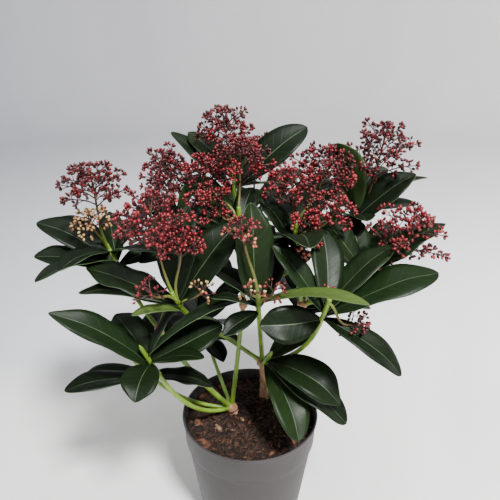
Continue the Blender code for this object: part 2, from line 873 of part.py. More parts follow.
def main():
    """Builds the pot, the mix, the limbs and the masses of foliage."""
    for obj in list(bpy.data.objects):
        bpy.data.objects.remove(obj)
    plant = new_collection("skimmia")
    cutters = new_collection("cutters", hidden=True)
    space = Space()
    pot = build_pot(plant, cutters)
    mix = build_mix(plant)
    space.add("pot", shape_of(pot))
    space.add("potting_mix", shape_of(mix))

    brown = new_material("stem_bark", (0.30, 0.20, 0.12), 0.8)
    green = new_material("bough_bark", (0.20, 0.34, 0.06), 0.5)
    foliage = new_material("foliage", (0.035, 0.085, 0.03), 0.45)
    knots = {}
    tips = {}
    for limb in STEMS + BOUGHS:
        direction = pointing(*limb.leave)
        if limb.parent:
            knot, reach = knots[limb.parent]
            foot = knot + direction * (reach + GAP)
            material = green
        else:
            foot = mm((*STEM_FEET[limb.name], 0.0)) + UP * (MIX_TOP + 2 * GAP)
            material = brown
        obj, arrival = build_limb(limb, foot, direction, plant, material)
        knots[limb.name] = (mm(limb.tip), limb.knot * MM)
        tips[limb.name] = (mm(limb.tip), arrival)
        space.add(limb.name, shape_of(obj))

    masses = [Mass(shoot, *tips[shoot.bough], space) for shoot in SHOOTS]
    for mass in masses:
        mass.grow_stalks()
    for mass in masses:
        mass.grow_known_leaves()
    for mass in masses:
        mass.grow_heads()
    for mass in masses:
        mass.grow_more_leaves()
    for mass in masses:
        mass.fuse(plant, foliage)


main()
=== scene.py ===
"""The looks of a skimmia in bud, in its round grey nursery pot.

Metres, +Z up, with the origin at the centre of the pot's underside and the front towards -Y.
The tables of limbs, leaves and flower heads are millimetres and degrees. A heading turns
anticlockwise from +X seen from above, and a lift is the angle above the level.
"""

import json
import logging
import math
import random
from dataclasses import dataclass, field, replace
from enum import Enum
from functools import lru_cache

import bmesh
import bpy
import numpy as np
from mathutils import Matrix, Quaternion, Vector, noise
from mathutils.bvhtree import BVHTree

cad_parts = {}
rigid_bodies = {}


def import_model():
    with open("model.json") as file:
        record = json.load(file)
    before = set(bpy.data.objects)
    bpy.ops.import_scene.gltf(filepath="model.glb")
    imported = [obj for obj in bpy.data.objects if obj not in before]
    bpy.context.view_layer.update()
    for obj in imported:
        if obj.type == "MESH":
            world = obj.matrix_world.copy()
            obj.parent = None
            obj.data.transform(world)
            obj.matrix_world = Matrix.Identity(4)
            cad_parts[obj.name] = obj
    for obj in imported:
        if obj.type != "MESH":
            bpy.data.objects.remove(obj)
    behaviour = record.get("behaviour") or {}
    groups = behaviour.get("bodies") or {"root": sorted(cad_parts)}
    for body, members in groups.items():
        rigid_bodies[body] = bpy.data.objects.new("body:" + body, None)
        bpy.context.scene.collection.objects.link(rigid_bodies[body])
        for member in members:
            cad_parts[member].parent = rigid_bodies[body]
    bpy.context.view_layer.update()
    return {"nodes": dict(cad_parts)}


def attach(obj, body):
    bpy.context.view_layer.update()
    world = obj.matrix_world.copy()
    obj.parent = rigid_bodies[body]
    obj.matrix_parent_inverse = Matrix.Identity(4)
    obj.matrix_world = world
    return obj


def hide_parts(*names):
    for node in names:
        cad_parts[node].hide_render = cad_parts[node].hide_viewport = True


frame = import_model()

log = logging.getLogger("skimmia")

MM = 0.001
UP = Vector((0.0, 0.0, 1.0))
GOLDEN_TURN = 137.5
BODY = "root"

Shape = tuple[list, list]
Line = list[tuple[Vector, float]]
Socket = bpy.types.NodeSocket
Material = bpy.types.Material
Piece = bpy.types.Object


class LeafTone(Enum):
    """The greens that are dealt out leaf by leaf."""

    DEEP = "deep"
    MIDDLE = "middle"
    FRESH = "fresh"
    PALE = "pale"


class BudTone(Enum):
    """The colours that are dealt out spray by spray."""

    CRIMSON = "crimson"
    MAROON = "maroon"
    SALMON = "salmon"
    CREAM = "cream"


DEEP, MIDDLE, FRESH, PALE = LeafTone
CRIMSON, MAROON, SALMON, CREAM = BudTone


@dataclass(frozen=True)
class Limb:
    """A stem or bough: it leaves its parent's knot at leave (heading, lift) and ends at tip."""

    name: str
    parent: str
    tip: tuple
    leave: tuple
    foot_radius: float
    tip_radius: float
    knot: float = 0.0


@dataclass(frozen=True)
class Leaf:
    """One leaf by the heading and lift of its chord, its length, and its roll about the chord."""

    heading: float
    lift: float
    length: float
    roll: float = 0.0
    arch: float = 26.0
    width: float = 0.36
    tone: LeafTone | None = None


@dataclass(frozen=True)
class Head:
    """A flower head by its middle, width, height and the colours of its upper and lower sprays."""

    middle: tuple
    width: float
    height: float
    tone: BudTone = CRIMSON
    low_tone: BudTone = CRIMSON


@dataclass(frozen=True)
class Shoot:
    """A whorl of leaves and its flower heads on one stem at the tip of a bough."""

    name: str
    bough: str
    seed: int
    leaves: tuple
    more: int
    heads: tuple = ()
    lean: float = 0.0
    lean_by: float = 0.0
    tone: LeafTone = DEEP
    fill: int = 4


STEMS = (
    Limb("stem_a", "", (-18, 5, 123.1), (-80, 84), 4.6, 4.2, 5.5),
    Limb("stem_b", "", (12, 18, 167), (-70, 84), 4.6, 3.4, 5.5),
)
STEM_FEET = {"stem_a": (-17, 7), "stem_b": (14, 26)}

BOUGHS = (
    Limb("bough_left", "stem_a", (-77, -22, 230), (-165, 50), 2.5, 2.2, 4.0),
    Limb("bough_low_left", "stem_a", (-77, -42, 200), (-140, 15), 2.0, 1.9),
    Limb("bough_low_left_outer", "stem_a", (-84, -22, 176), (176, 0), 1.9, 1.8),
    Limb("bough_up", "stem_a", (-6, 8, 236), (55, 78), 2.2, 2.0, 4.0),
    Limb("bough_low_back_left", "stem_a", (-44, 52, 168), (112, 18), 1.9, 1.8),
    Limb("bough_centre", "stem_b", (7, -38, 254), (-100, 72), 2.2, 2.1),
    Limb("bough_front_right", "stem_b", (54, -54, 256), (-40, 30), 2.0, 1.9),
    Limb("bough_right", "stem_b", (46, 2, 240), (10, 48), 2.2, 2.0, 4.4),
    Limb("bough_low_right", "stem_b", (13, -8, 184), (-92, 25), 1.9, 1.8),
    Limb("bough_back", "stem_b", (8, 72, 216), (95, 35), 2.2, 2.0, 4.4),
    Limb("bough_low_back_right", "stem_b", (48, 66, 184), (40, 5), 1.9, 1.8),
    Limb("bough_front_left", "stem_b", (-52, -31, 251), (170, 35), 2.1, 1.9),
    Limb("branch_left_middle", "bough_left", (-58, 36, 262), (70, 45), 1.8, 1.8),
    Limb("branch_left", "bough_left", (-112, 10, 268), (142, 32), 1.8, 1.7),
    Limb("branch_top", "bough_up", (-14, 52, 322), (100, 52), 1.8, 1.7),
    Limb("branch_middle", "bough_up", (-8, 6, 298), (-80, 72), 1.8, 1.7),
    Limb("branch_right", "bough_right", (38, 0, 288), (-170, 76), 1.8, 1.7),
    Limb("branch_right_back", "bough_right", (88, 40, 298), (55, 42), 1.8, 1.7),
    Limb("branch_far_right", "bough_right", (82, -18, 268), (-30, 26), 1.8, 1.7),
    Limb("branch_back_left", "bough_back", (-62, 92, 262), (168, 36), 1.8, 1.7),
    Limb("branch_back", "bough_back", (4, 102, 276), (88, 66), 1.8, 1.7),
    Limb("branch_back_right", "bough_back", (70, 92, 252), (12, 28), 1.8, 1.7),
)

SHOOTS = (
    Shoot(
        "low_left", "bough_low_left", 11,
        (
            Leaf(-166, 42, 98, -30, 26, 0.23),
            Leaf(132, 22, 68, -25, 20, 0.4),
            Leaf(103, 3, 48),
            Leaf(-98, -7, 40, -5, 34, 0.7),
            Leaf(15, 23, 66, 30, 20, 0.42),
            Leaf(56, 23, 54, -30, 30, 0.3),
            Leaf(6, 34, 96, -2, 30, 0.2),
        ), 0, lean=-150, lean_by=10, tone=MIDDLE, fill=1,
    ),
    Shoot(
        "low_left_outer", "bough_low_left_outer", 12,
        (
            Leaf(-155, 11, 74, 0, 20, 0.32),
            Leaf(178, -3, 68, -15, 10, 0.32),
            Leaf(-4, -21, 58),
        ), 2, lean=180, lean_by=15, fill=0,
    ),
    Shoot(
        "front_left", "bough_front_left", 13,
        (
            Leaf(-138, 19, 48, -10, 34, 0.24, PALE),
            Leaf(-176, 16, 81, 0, 20, 0.3),
            Leaf(169, 20, 82, -5, 16, 0.36),
            Leaf(20, 52, 80, 40, 20, 0.4),
            Leaf(75, 68, 76, 0, 20, 0.34),
        ), 0,
        (
            Head((-69, -50, 333), 64, 54),
            Head((-73, -62, 286), 22, 18, CRIMSON, MAROON),
            Head((-50, -52, 318), 36, 26),
            Head((-36, -45, 279), 17, 14, CREAM, CREAM),
        ), -150, 8, DEEP, 1,
    ),
    Shoot(
        "left", "branch_left", 34,
        (
            Leaf(178, 33, 79, -25),
            Leaf(-159, 15, 68, -20),
        ), 3,
        (
            Head((-128, 10, 345), 56, 42, MAROON, MAROON),
            Head((-131, 2, 317), 32, 20, CREAM, CREAM),
        ), 170, 14,
    ),
    Shoot(
        "left_middle", "branch_left_middle", 15,
        (Leaf(171, 63, 74, -25), Leaf(8, 58, 42), Leaf(78, 25, 80)), 3,
        (Head((-74, 50, 343), 42, 54, MAROON, MAROON),), 150, 8,
    ),
    Shoot(
        "top", "branch_top", 16,
        (
            Leaf(151, 38, 84, -5, 20, 0.26),
            Leaf(8, 40, 84, 40, 20, 0.38),
            Leaf(63, 63, 42, -5, 10, 0.44),
        ), 0,
        (Head((-22, 60, 382), 50, 40, MAROON, CRIMSON),), 90, 8, DEEP, 2,
    ),
    Shoot(
        "middle", "branch_middle", 17,
        (Leaf(-159, 31, 54, -45), Leaf(137, 30, 73, -10), Leaf(-178, -10, 46, -35, 20, 0.42)), 0,
        (
            Head((-8, 18, 362), 60, 46, MAROON, CRIMSON),
            Head((-31, 0, 331), 46, 38),
            Head((-38, 30, 350), 42, 36, CRIMSON, MAROON),
        ), 0, 0, DEEP, 1,
    ),
    Shoot(
        "centre_front", "bough_centre", 18,
        (
            Leaf(-135, -5, 38, -15, 24, 0.42),
            Leaf(130, 72, 86, -15, 12, 0.34),
            Leaf(53, 54, 60, 0, 20, 0.38),
            Leaf(-172, 6, 38, 0, 24, 0.34),
            Leaf(-35, 18, 92, 15, 40, 0.135, PALE),
        ), 1,
        (
            Head((-5, -56, 329), 28, 26, CRIMSON, SALMON),
            Head((0, -66, 289), 15, 12, CREAM, CREAM),
            Head((17, -62, 286), 17, 13, CRIMSON, SALMON),
        ), -90, 8, DEEP, 1,
    ),
    Shoot(
        "right", "branch_right", 19,
        (Leaf(180, 58, 55, -30), Leaf(19, 23, 40), Leaf(80, 20, 78)), 2,
        (
            Head((61, 12, 358), 56, 46, MAROON, CRIMSON),
            Head((33, -10, 347), 44, 40),
            Head((45, -25, 319), 38, 32, CRIMSON, SALMON),
            Head((66, -14, 331), 34, 30),
        ), -60, 4,
    ),
    Shoot(
        "right_back", "branch_right_back", 20,
        (Leaf(-6, 44, 71, 40, 20, 0.4), Leaf(-127, -2, 44), Leaf(60, 24, 84)), 3,
        (Head((111, 40, 362), 60, 70, MAROON, MAROON),), 20, 12,
    ),
    Shoot(
        "far_right", "branch_far_right", 21,
        (
            Leaf(6, 37, 87, 5, 26, 0.38),
            Leaf(58, 17, 85, 20),
            Leaf(98, 40, 60),
        ), 1,
        (
            Head((124, -22, 313), 64, 50),
            Head((109, -36, 286), 22, 16, CRIMSON, SALMON),
        ), -20, 16, DEEP, 1,
    ),
    Shoot(
        "front_right", "bough_front_right", 22,
        (
            Leaf(-163, 18, 49, -60, 16, 0.56),
            Leaf(-22, -28, 72, 20, 34, 0.3),
            Leaf(1, 26, 89, 5, 20, 0.36),
            Leaf(157, 50, 64, -25, 20, 0.28),
            Leaf(30, 20, 74, 0, 20, 0.34),
            Leaf(90, 45, 65, 15, 20, 0.38),
        ), 0,
        (
            Head((79, -62, 258), 27, 22, CRIMSON, MAROON),
            Head((56, -56, 281), 12, 12, CRIMSON, CREAM),
        ), -70, 10, MIDDLE, 0,
    ),
    Shoot(
        "low_right", "bough_low_right", 23,
        (
            Leaf(-64, -29, 73, -5, 30, 0.42),
            Leaf(-29, -23, 86, 10, 40, 0.34),
            Leaf(-18, -17, 73, 15, 50, 0.44),
            Leaf(32, -2, 56, 25, 26, 0.4),
        ), 0, lean=-60, lean_by=14, tone=FRESH, fill=0,
    ),
    Shoot(
        "low_back_left", "bough_low_back_left", 24,
        (Leaf(-66, 4, 50), Leaf(-30, 10, 44), Leaf(150, 4, 76), Leaf(105, 0, 80)), 1,
        lean=130, lean_by=16,
    ),
    Shoot(
        "low_back_right", "bough_low_back_right", 25,
        (Leaf(60, 2, 82), Leaf(10, 4, 80), Leaf(100, 6, 74)), 2, lean=45, lean_by=16,
    ),
    Shoot(
        "back_left", "branch_back_left", 26, (), 6,
        (Head((-80, 108, 326), 58, 52),), 130, 18,
    ),
    Shoot(
        "back", "branch_back", 27, (), 6,
        (Head((6, 118, 342), 62, 54, MAROON, CRIMSON),), 90, 16,
    ),
    Shoot(
        "back_right", "branch_back_right", 28, (), 6,
        (Head((92, 106, 316), 60, 50, CRIMSON, SALMON),), 45, 18,
    ),
)


@dataclass(frozen=True)
class GrowthRule:
    """The sizes of the rule by which a shoot grows, the same as those of the solids."""

    gap: float = 0.3 * MM
    mix_top: float = 117.5 * MM
    limb_spans: int = 4
    limb_reach: float = 0.45
    shoot_stem: float = 30.0 * MM
    shoot_stem_radius: float = 2.5 * MM
    stem_top_radius: float = 2.3 * MM
    stalk_radius: float = 1.6 * MM
    stalk_step: float = 4.6 * MM
    twig_sides: int = 3
    stem_spans: int = 2
    stalk_spans: int = 2
    whorl_start: float = 4.0 * MM
    whorl_depth: float = 20.0 * MM
    leaf_fore: float = 0.85
    leaf_aft: float = 0.6
    leaf_thickness: float = 0.016
    leaf_stalk_width: float = 2.0 * MM
    leaf_fold: float = 15.0
    leaf_stations: tuple = (0.0, 0.27, 0.6, 0.88, 1.0)
    leaf_outer: float = 0.3
    leaf_tries: tuple = (
        (0, 0), (0, 14), (14, 6), (-14, 6), (0, -14), (24, -8), (-24, -8), (0, 30),
    )
    fill_tries: int = 26
    fill_lift: tuple = (2.0, 54.0)
    fill_front_lift: float = 8.0
    axis_top_radius: float = 1.3 * MM
    branch_radius: float = 0.8 * MM
    twig_radius: float = 0.4 * MM
    twig_length: float = 7.5 * MM
    bud_radius: float = 3.2 * MM
    bud_length: float = 6.5 * MM
    bud_spacing: float = 19.0 * MM
    branch_spacing: float = 9.5 * MM
    head_low_lift: float = -15.0
    head_high_lift: float = 62.0


RULE = GrowthRule()


def mm(place: tuple) -> Vector:
    """A place in millimetres as a vector in metres."""
    return Vector(place) * MM


def pointing(heading: float, lift: float) -> Vector:
    """The unit vector with this heading and lift, in degrees."""
    turn = math.radians(heading)
    rise = math.radians(lift)
    return Vector((math.cos(turn) * math.cos(rise), math.sin(turn) * math.cos(rise), math.sin(rise)))


def across(direction: Vector) -> tuple[Vector, Vector]:
    """Two unit vectors square to a direction and to each other, the second one upward."""
    side = direction.cross(UP)
    if side.length < 0.05:
        side = Vector((1.0, 0.0, 0.0))
    side.normalize()
    return side, side.cross(direction).normalized()


def around(direction: Vector, turn: float) -> Vector:
    """The unit vector square to a direction, at a turn round it in radians."""
    side, rise = across(direction)
    return side * math.cos(turn) + rise * math.sin(turn)


def point_on(path: list[Vector], part: float) -> Vector:
    """The point at a part of a path, whose spans count alike."""
    span = min(part, 0.999) * (len(path) - 1)
    index = int(span)
    return path[index].lerp(path[index + 1], span - index)


def bend_points(
    start: Vector, direction: Vector, end: Vector, spans: int, reach: float = RULE.limb_reach
) -> list[Vector]:
    """Points along a bend that leaves start along direction and arrives at end.

    Args:
        start: Where the bend starts.
        direction: The unit vector along which it leaves.
        end: Where it ends.
        spans: How many spans the points part it into.
        reach: How far the first direction holds, as a share of the distance.

    Returns:
        The points, one more than the spans.
    """
    control = start + direction * ((end - start).length * reach)
    points = []
    for index in range(spans + 1):
        t = index / spans
        points.append(start * (1 - t) ** 2 + control * (2 * t * (1 - t)) + end * t ** 2)
    return points


def blade_width(part: float) -> float:
    """The width of a leaf at a part of its length, as a share of its greatest width."""
    widest = RULE.leaf_fore / (RULE.leaf_fore + RULE.leaf_aft)
    return (part / widest) ** RULE.leaf_fore * ((1 - part) / (1 - widest)) ** RULE.leaf_aft


def loft(rings: list[list[Vector]]) -> Shape:
    """The outline through rings of points, for tests of what touches what.

    Args:
        rings: The rings in order. A ring of one point is a sharp end.

    Returns:
        The points, and the faces as triangles and capped ends.
    """
    points = [point for ring in rings for point in ring]
    faces = []
    start = 0
    for ring, after in zip(rings, rings[1:]):
        next_start = start + len(ring)
        count = max(len(ring), len(after))
        for i in range(count):
            j = (i + 1) % count
            if len(after) == 1:
                faces.append((start + i, start + j, next_start))
            elif len(ring) == 1:
                faces.append((start, next_start + j, next_start + i))
            else:
                faces.append((start + i, start + j, next_start + j))
                faces.append((start + i, next_start + j, next_start + i))
        start = next_start
    if len(rings[0]) > 1:
        faces.append(tuple(reversed(range(len(rings[0])))))
    if len(rings[-1]) > 1:
        faces.append(tuple(range(start, start + len(rings[-1]))))
    return points, faces


def tube(line: Line, swell: float = 0.0, aim: Vector | None = None) -> Shape:
    """The outline of a three-sided tube, for tests of what touches what.

    Args:
        line: The centre line as (point, radius) pairs, where a radius of 0 is a sharp end.
        swell: How much wider than the tube the outline is.
        aim: The direction that the first ring is square to, where that isn't the line's own.

    Returns:
        The points and faces.
    """
    rings = []
    for index, (place, radius) in enumerate(line):
        before = line[max(index - 1, 0)][0]
        after = line[min(index + 1, len(line) - 1)][0]
        direction = (after - before).normalized()
        if index == 0 and aim:
            direction = aim
        side, rise = across(direction)
        if radius == 0.0:
            rings.append([place])
            continue
        ring = []
        for step in range(RULE.twig_sides):
            turn = math.tau * step / RULE.twig_sides
            ring.append(place + (side * math.cos(turn) - rise * math.sin(turn)) * (radius + swell))
        rings.append(ring)
    return loft(rings)


def blade(root: Vector, leaf: Leaf, start: float = 0.0, swell: float = 0.0) -> Shape:
    """The outline of a leaf, for tests of what touches what.

    Args:
        root: Where the leaf leaves its stem.
        leaf: Its direction and sizes.
        start: The part of its length at which the outline starts.
        swell: How much wider and thicker than the leaf the outline is.

    Returns:
        The points and faces.
    """
    chord = pointing(leaf.heading, leaf.lift)
    side, rise = across(chord)
    roll = Quaternion(chord, math.radians(leaf.roll))
    side.rotate(roll)
    rise.rotate(roll)
    length = leaf.length * MM
    crown = math.radians(leaf.arch) / 8 * length
    half_thick = RULE.leaf_thickness * length / 2 + swell
    fold = math.radians(RULE.leaf_fold)
    rings = []
    for station in RULE.leaf_stations:
        part = max(station, start)
        if station < start and rings:
            continue
        place = root + chord * (length * part) + rise * (4 * crown * part * (1 - part))
        if part == 1.0:
            rings.append([place])
            continue
        slope = rise * (4 * crown * (1 - 2 * part)) + chord * length
        normal = side.cross(slope).normalized()
        wide = max(leaf.width * length * blade_width(part), RULE.leaf_stalk_width) / 2 + swell
        edge_rise = normal * (wide * math.sin(fold))
        edge_out = side * (wide * math.cos(fold))
        rings.append([
            place + edge_rise + edge_out,
            place - normal * half_thick,
            place + edge_rise - edge_out,
            place + normal * half_thick,
        ])
    return loft(rings)


def box_of(points: list[Vector]) -> tuple[list[float], list[float]]:
    """The lowest and the highest corner of the box round some points."""
    low = [min(point[axis] for point in points) for axis in range(3)]
    high = [max(point[axis] for point in points) for axis in range(3)]
    return low, high


class Space:
    """What is already placed, so that a new twig or leaf keeps clear of the rest."""

    def __init__(self) -> None:
        """An empty space."""
        self.taken: list[tuple] = []

    def add(self, owner: str, shape: Shape) -> None:
        """Notes a shape as placed by its owner.

        Args:
            owner: The name under which it is noted.
            shape: Its points and faces.
        """
        points, faces = shape
        self.taken.append((owner, *box_of(points), BVHTree.FromPolygons(points, faces)))

    def add_node(self, name: str) -> None:
        """Notes a node of the frame as placed."""
        mesh = frame["nodes"][name].data
        points = [vertex.co.copy() for vertex in mesh.vertices]
        self.add(name, (points, [tuple(polygon.vertices) for polygon in mesh.polygons]))

    def is_free(self, shape: Shape, own: tuple[str, ...]) -> bool:
        """Says whether a shape touches nothing but what some owners have placed.

        Args:
            shape: Its points and faces.
            own: The owners whose shapes it may touch.

        Returns:
            Whether the place is free.
        """
        points, faces = shape
        low, high = box_of(points)
        tree = BVHTree.FromPolygons(points, faces)
        for owner, other_low, other_high, other in self.taken:
            if owner in own:
                continue
            apart = any(
                low[axis] > other_high[axis] or high[axis] < other_low[axis] for axis in range(3)
            )
            if not apart and tree.overlap(other):
                return False
        return True


@dataclass
class PlacedHead:
    """A flower head in its place, with its axis and its stalk."""

    head: Head
    middle: Vector
    axis: Vector
    stalk: Line

    @property
    def half_width(self) -> float:
        """Half of its width in metres."""
        return self.head.width * MM / 2

    @property
    def half_height(self) -> float:
        """Half of its height in metres."""
        return self.head.height * MM / 2

    @property
    def base(self) -> Vector:
        """The foot of its axis."""
        return self.middle - self.axis * self.half_height

    def spray_tip(self, heading: float, lift: float, reach: float) -> Vector:
        """Where a side branch ends.

        Args:
            heading: Its degrees round the axis.
            lift: Its degrees above the level of the head's middle.
            reach: How far out it reaches, as a share of the head's own reach.

        Returns:
            The end.
        """
        out = around(self.axis, math.radians(heading))
        rise = math.radians(lift)
        return (
            self.middle
            + out * (math.cos(rise) * self.half_width * reach)
            + self.axis * (math.sin(rise) * self.half_height * reach)
        )


class ShootPlan:
    """Where everything on one shoot grows, by the rule that the solids follow."""

    def __init__(self, shoot: Shoot, foot: Vector, direction: Vector, space: Space) -> None:
        """Starts the plan with the shoot's stem.

        Args:
            shoot: The shoot's entry in the table.
            foot: The tip of its bough.
            direction: The direction in which the bough arrives.
            space: What is placed so far.
        """
        self.shoot = shoot
        self.space = space
        self.rng = random.Random(shoot.seed)
        self.blades = shoot.name + " blades"
        self.buds = shoot.name + " buds"
        self.leaves: list[tuple[Vector, Leaf]] = []
        self.heads: list[PlacedHead] = []
        self.foot = foot + direction * RULE.gap
        goal = pointing(shoot.lean, 90 - 2 * shoot.lean_by)
        top = self.foot + (direction + goal).normalized() * RULE.shoot_stem
        self.stem = bend_points(self.foot, direction, top, RULE.stem_spans)
        self.stem_direction = (self.stem[-1] - self.stem[-2]).normalized()
        line = [(point, RULE.shoot_stem_radius) for point in self.stem[:-1]]
        line[0] = (self.foot, RULE.shoot_stem_radius * 0.9)
        line.append((self.stem[-1], RULE.stem_top_radius))
        if not shoot.heads:
            line.append((self.stem[-1] + self.stem_direction * 2 * RULE.stem_top_radius, 0.0))
        self.space.add(shoot.name, tube(line, aim=direction))

    def stem_point(self, height: float) -> Vector:
        """The point on the stem at a height above its foot."""
        return point_on(self.stem, height / RULE.shoot_stem)

    def try_leaf(self, leaf: Leaf, root: Vector, tries: tuple = RULE.leaf_tries) -> bool:
        """Places a leaf, turned or lifted a little where its own place is taken.

        Args:
            leaf: Its direction and sizes.
            root: Where it leaves the stem.
            tries: How far it may be turned and lifted, in the order in which that is tried.

        Returns:
            Whether there was room for it.
        """
        own = self.shoot.name
        for turn, lift in tries:
            moved = replace(leaf, heading=leaf.heading + turn, lift=leaf.lift + lift)
            outer = blade(root, moved, RULE.leaf_outer, 2 * RULE.gap)
            if not self.space.is_free(outer, (own,)):
                continue
            if self.space.is_free(blade(root, moved, 0.0, RULE.gap), (own, self.blades)):
                self.leaves.append((root, moved))
                self.space.add(self.blades, blade(root, moved, RULE.leaf_outer))
                self.space.add(own, blade(root, moved))
                return True
        return False

    def plan_known_leaves(self) -> None:
        """The leaves that show plainly, in their own places."""
        count = len(self.shoot.leaves) + self.shoot.more
        for index, leaf in enumerate(self.shoot.leaves):
            root = self.stem_point(RULE.whorl_start + RULE.whorl_depth * index / count)
            self.try_leaf(leaf, root)

    def plan_more_leaves(self) -> None:
        """The rest of the whorl by the golden angle, lower leaves level and upper ones raised."""
        known = len(self.shoot.leaves)
        count = known + self.shoot.more
        heading = self.rng.uniform(0, 360)
        for index in range(known, count):
            rise = index / max(count - 1, 1)
            heading += GOLDEN_TURN
            tilt = self.shoot.lean_by * math.cos(math.radians(heading - self.shoot.lean))
            leaf = Leaf(
                heading,
                2 + 28 * rise - tilt + self.rng.uniform(-6, 6),
                self.rng.uniform(70, 88) * (1 - 0.12 * rise),
                self.rng.uniform(-15, 15),
                self.rng.uniform(18, 36),
                self.rng.uniform(0.33, 0.39),
            )
            root = self.stem_point(RULE.whorl_start + RULE.whorl_depth * index / count)
            self.try_leaf(leaf, root)

    def plan_fill_leaves(self) -> None:
        """Smaller leaves in the gaps of the whorl, within the reach of the leaves round them."""
        heading = self.rng.uniform(0, 360)
        wanted = self.shoot.fill
        if not wanted:
            return
        least, most = RULE.fill_lift
        front_most = RULE.fill_front_lift
        for _ in range(RULE.fill_tries):
            heading += GOLDEN_TURN
            backward = (1 + math.sin(math.radians(heading))) / 2
            leaf = Leaf(
                heading,
                self.rng.uniform(least, front_most + (most - front_most) * backward),
                self.rng.uniform(40, 66),
                self.rng.uniform(-25, 25),
                self.rng.uniform(16, 34),
                self.rng.uniform(0.34, 0.42),
            )
            root = self.stem_point(RULE.whorl_start + RULE.whorl_depth * self.rng.random())
            wanted -= self.try_leaf(leaf, root, RULE.leaf_tries[:4])
            if not wanted:
                break

    def plan_stalks(self) -> None:
        """A stalk for each flower head, which runs on as its axis, unless its way is taken."""
        for order, head in enumerate(self.shoot.heads):
            middle = mm(head.middle)
            half_height = head.height * MM / 2
            root = self.stem_point(RULE.shoot_stem - RULE.stalk_step * (order + 1))
            axis = ((middle - root).normalized() * 0.6 + UP * 0.4).normalized()
            base = middle - axis * half_height
            stalk = bend_points(root, self.stem_direction, base, RULE.stalk_spans)
            line = [(point, RULE.stalk_radius) for point in stalk]
            line.append((middle + axis * (half_height * 0.55), RULE.axis_top_radius))
            if self.space.is_free(tube(line, RULE.gap), (self.shoot.name,)):
                self.space.add(self.shoot.name, tube(line))
                self.heads.append(PlacedHead(head, middle, axis, line))

    def plan_heads(self) -> None:
        """The side branches of each flower head by the golden angle, level ones first."""
        for placed in self.heads:
            axis, half_height = placed.axis, placed.half_height
            climb = RULE.head_high_lift - RULE.head_low_lift
            count = max(4, round(placed.head.width * MM / RULE.branch_spacing))
            phase = self.rng.uniform(0, 360)
            for index in range(count):
                part = index / (count - 1)
                reach = self.rng.uniform(0.82, 1.0)
                lift = RULE.head_low_lift + climb * part
                tip = placed.spray_tip(phase + GOLDEN_TURN * index, lift, reach)
                start = placed.base + axis * (half_height * (0.15 + 1.15 * part))
                self.plan_branch(start, tip, axis)
            top = placed.middle + axis * (half_height * 0.5)
            self.plan_bud(top, axis, half_height * 0.5, RULE.twig_radius)

    def plan_branch(self, start: Vector, tip: Vector, axis: Vector) -> None:
        """A side branch that ends in a bud, with budded twigs on alternate sides of it.

        Args:
            start: Where it leaves the head's axis.
            tip: Where its bud ends.
            axis: The direction of the head's axis.
        """
        along = tip - start
        outward = along.normalized()
        if not self.plan_bud(start, outward, along.length, RULE.branch_radius):
            return
        side = outward.cross(axis).normalized()
        for index in range(round(along.length / RULE.bud_spacing)):
            part = 0.75 - 0.3 * index
            sway = 0.75 if index % 2 else -0.75
            direction = (outward * 0.6 + side * sway + axis * 0.45).normalized()
            self.plan_bud(start.lerp(tip, part), direction, RULE.twig_length, RULE.twig_radius)

    def plan_bud(self, root: Vector, direction: Vector, length: float, radius: float) -> bool:
        """A twig of this length that ends in a flower bud.

        Args:
            root: Where the twig starts.
            direction: The way that it grows.
            length: Its length with the bud.
            radius: Its radius at the root.

        Returns:
            Whether there was room for it.
        """
        neck = root + direction * (length - RULE.bud_length * 0.5)
        line = [
            (root, radius),
            (neck, RULE.twig_radius),
            (neck + direction * (RULE.bud_length * 0.5), RULE.bud_radius),
            (neck + direction * RULE.bud_length, 0.0),
        ]
        own = self.shoot.name
        if not self.space.is_free(tube(line[1:], RULE.gap), (own,)):
            return False
        if not self.space.is_free(tube(line, RULE.gap), (own, self.buds)):
            return False
        self.space.add(self.buds, tube(line[1:]))
        return True


@dataclass
class GrownLimb:
    """A limb in its place: its centre line with radii, and the direction in which it ends."""

    limb: Limb
    line: Line
    arrival: Vector


class PlantPlan:
    """Where every limb, leaf and flower head grows."""

    def __init__(self) -> None:
        """Works the plan out from the tables and the frame's own limbs."""
        self.space = Space()
        self.limbs = self.plan_limbs()
        for name in ("pot", "potting_mix"):
            self.space.add_node(name)
        for grown in self.limbs.values():
            self.space.add_node(grown.limb.name)
        self.shoots = []
        for shoot in SHOOTS:
            grown = self.limbs[shoot.bough]
            self.shoots.append(ShootPlan(shoot, mm(grown.limb.tip), grown.arrival, self.space))
        steps = (
            ShootPlan.plan_stalks,
            ShootPlan.plan_known_leaves,
            ShootPlan.plan_heads,
            ShootPlan.plan_more_leaves,
            ShootPlan.plan_fill_leaves,
        )
        for step in steps:
            for shoot in self.shoots:
                step(shoot)

    def plan_limbs(self) -> dict[str, GrownLimb]:
        """The centre line of each limb, from the middle of its parent's knot to its own tip."""
        grown: dict[str, GrownLimb] = {}
        for limb in STEMS + BOUGHS:
            direction = pointing(*limb.leave)
            if limb.parent:
                parent = grown[limb.parent].limb
                foot = mm(parent.tip) + direction * (parent.knot * MM + RULE.gap)
            else:
                foot = mm((*STEM_FEET[limb.name], 0.0)) + UP * (RULE.mix_top + 2 * RULE.gap)
            tip = mm(limb.tip)
            coarse = bend_points(foot, direction, tip, RULE.limb_spans)
            arrival = (coarse[-1] - coarse[-2]).normalized()
            spans = max(12, round((tip - foot).length / (2.2 * MM)))
            points = bend_points(foot, direction, tip, spans)
            line = []
            for index, point in enumerate(points):
                part = index / spans
                radius = (limb.foot_radius + (limb.tip_radius - limb.foot_radius) * part) * MM
                line.append((point, radius))
            grown[limb.name] = GrownLimb(limb, line, arrival)
        return grown


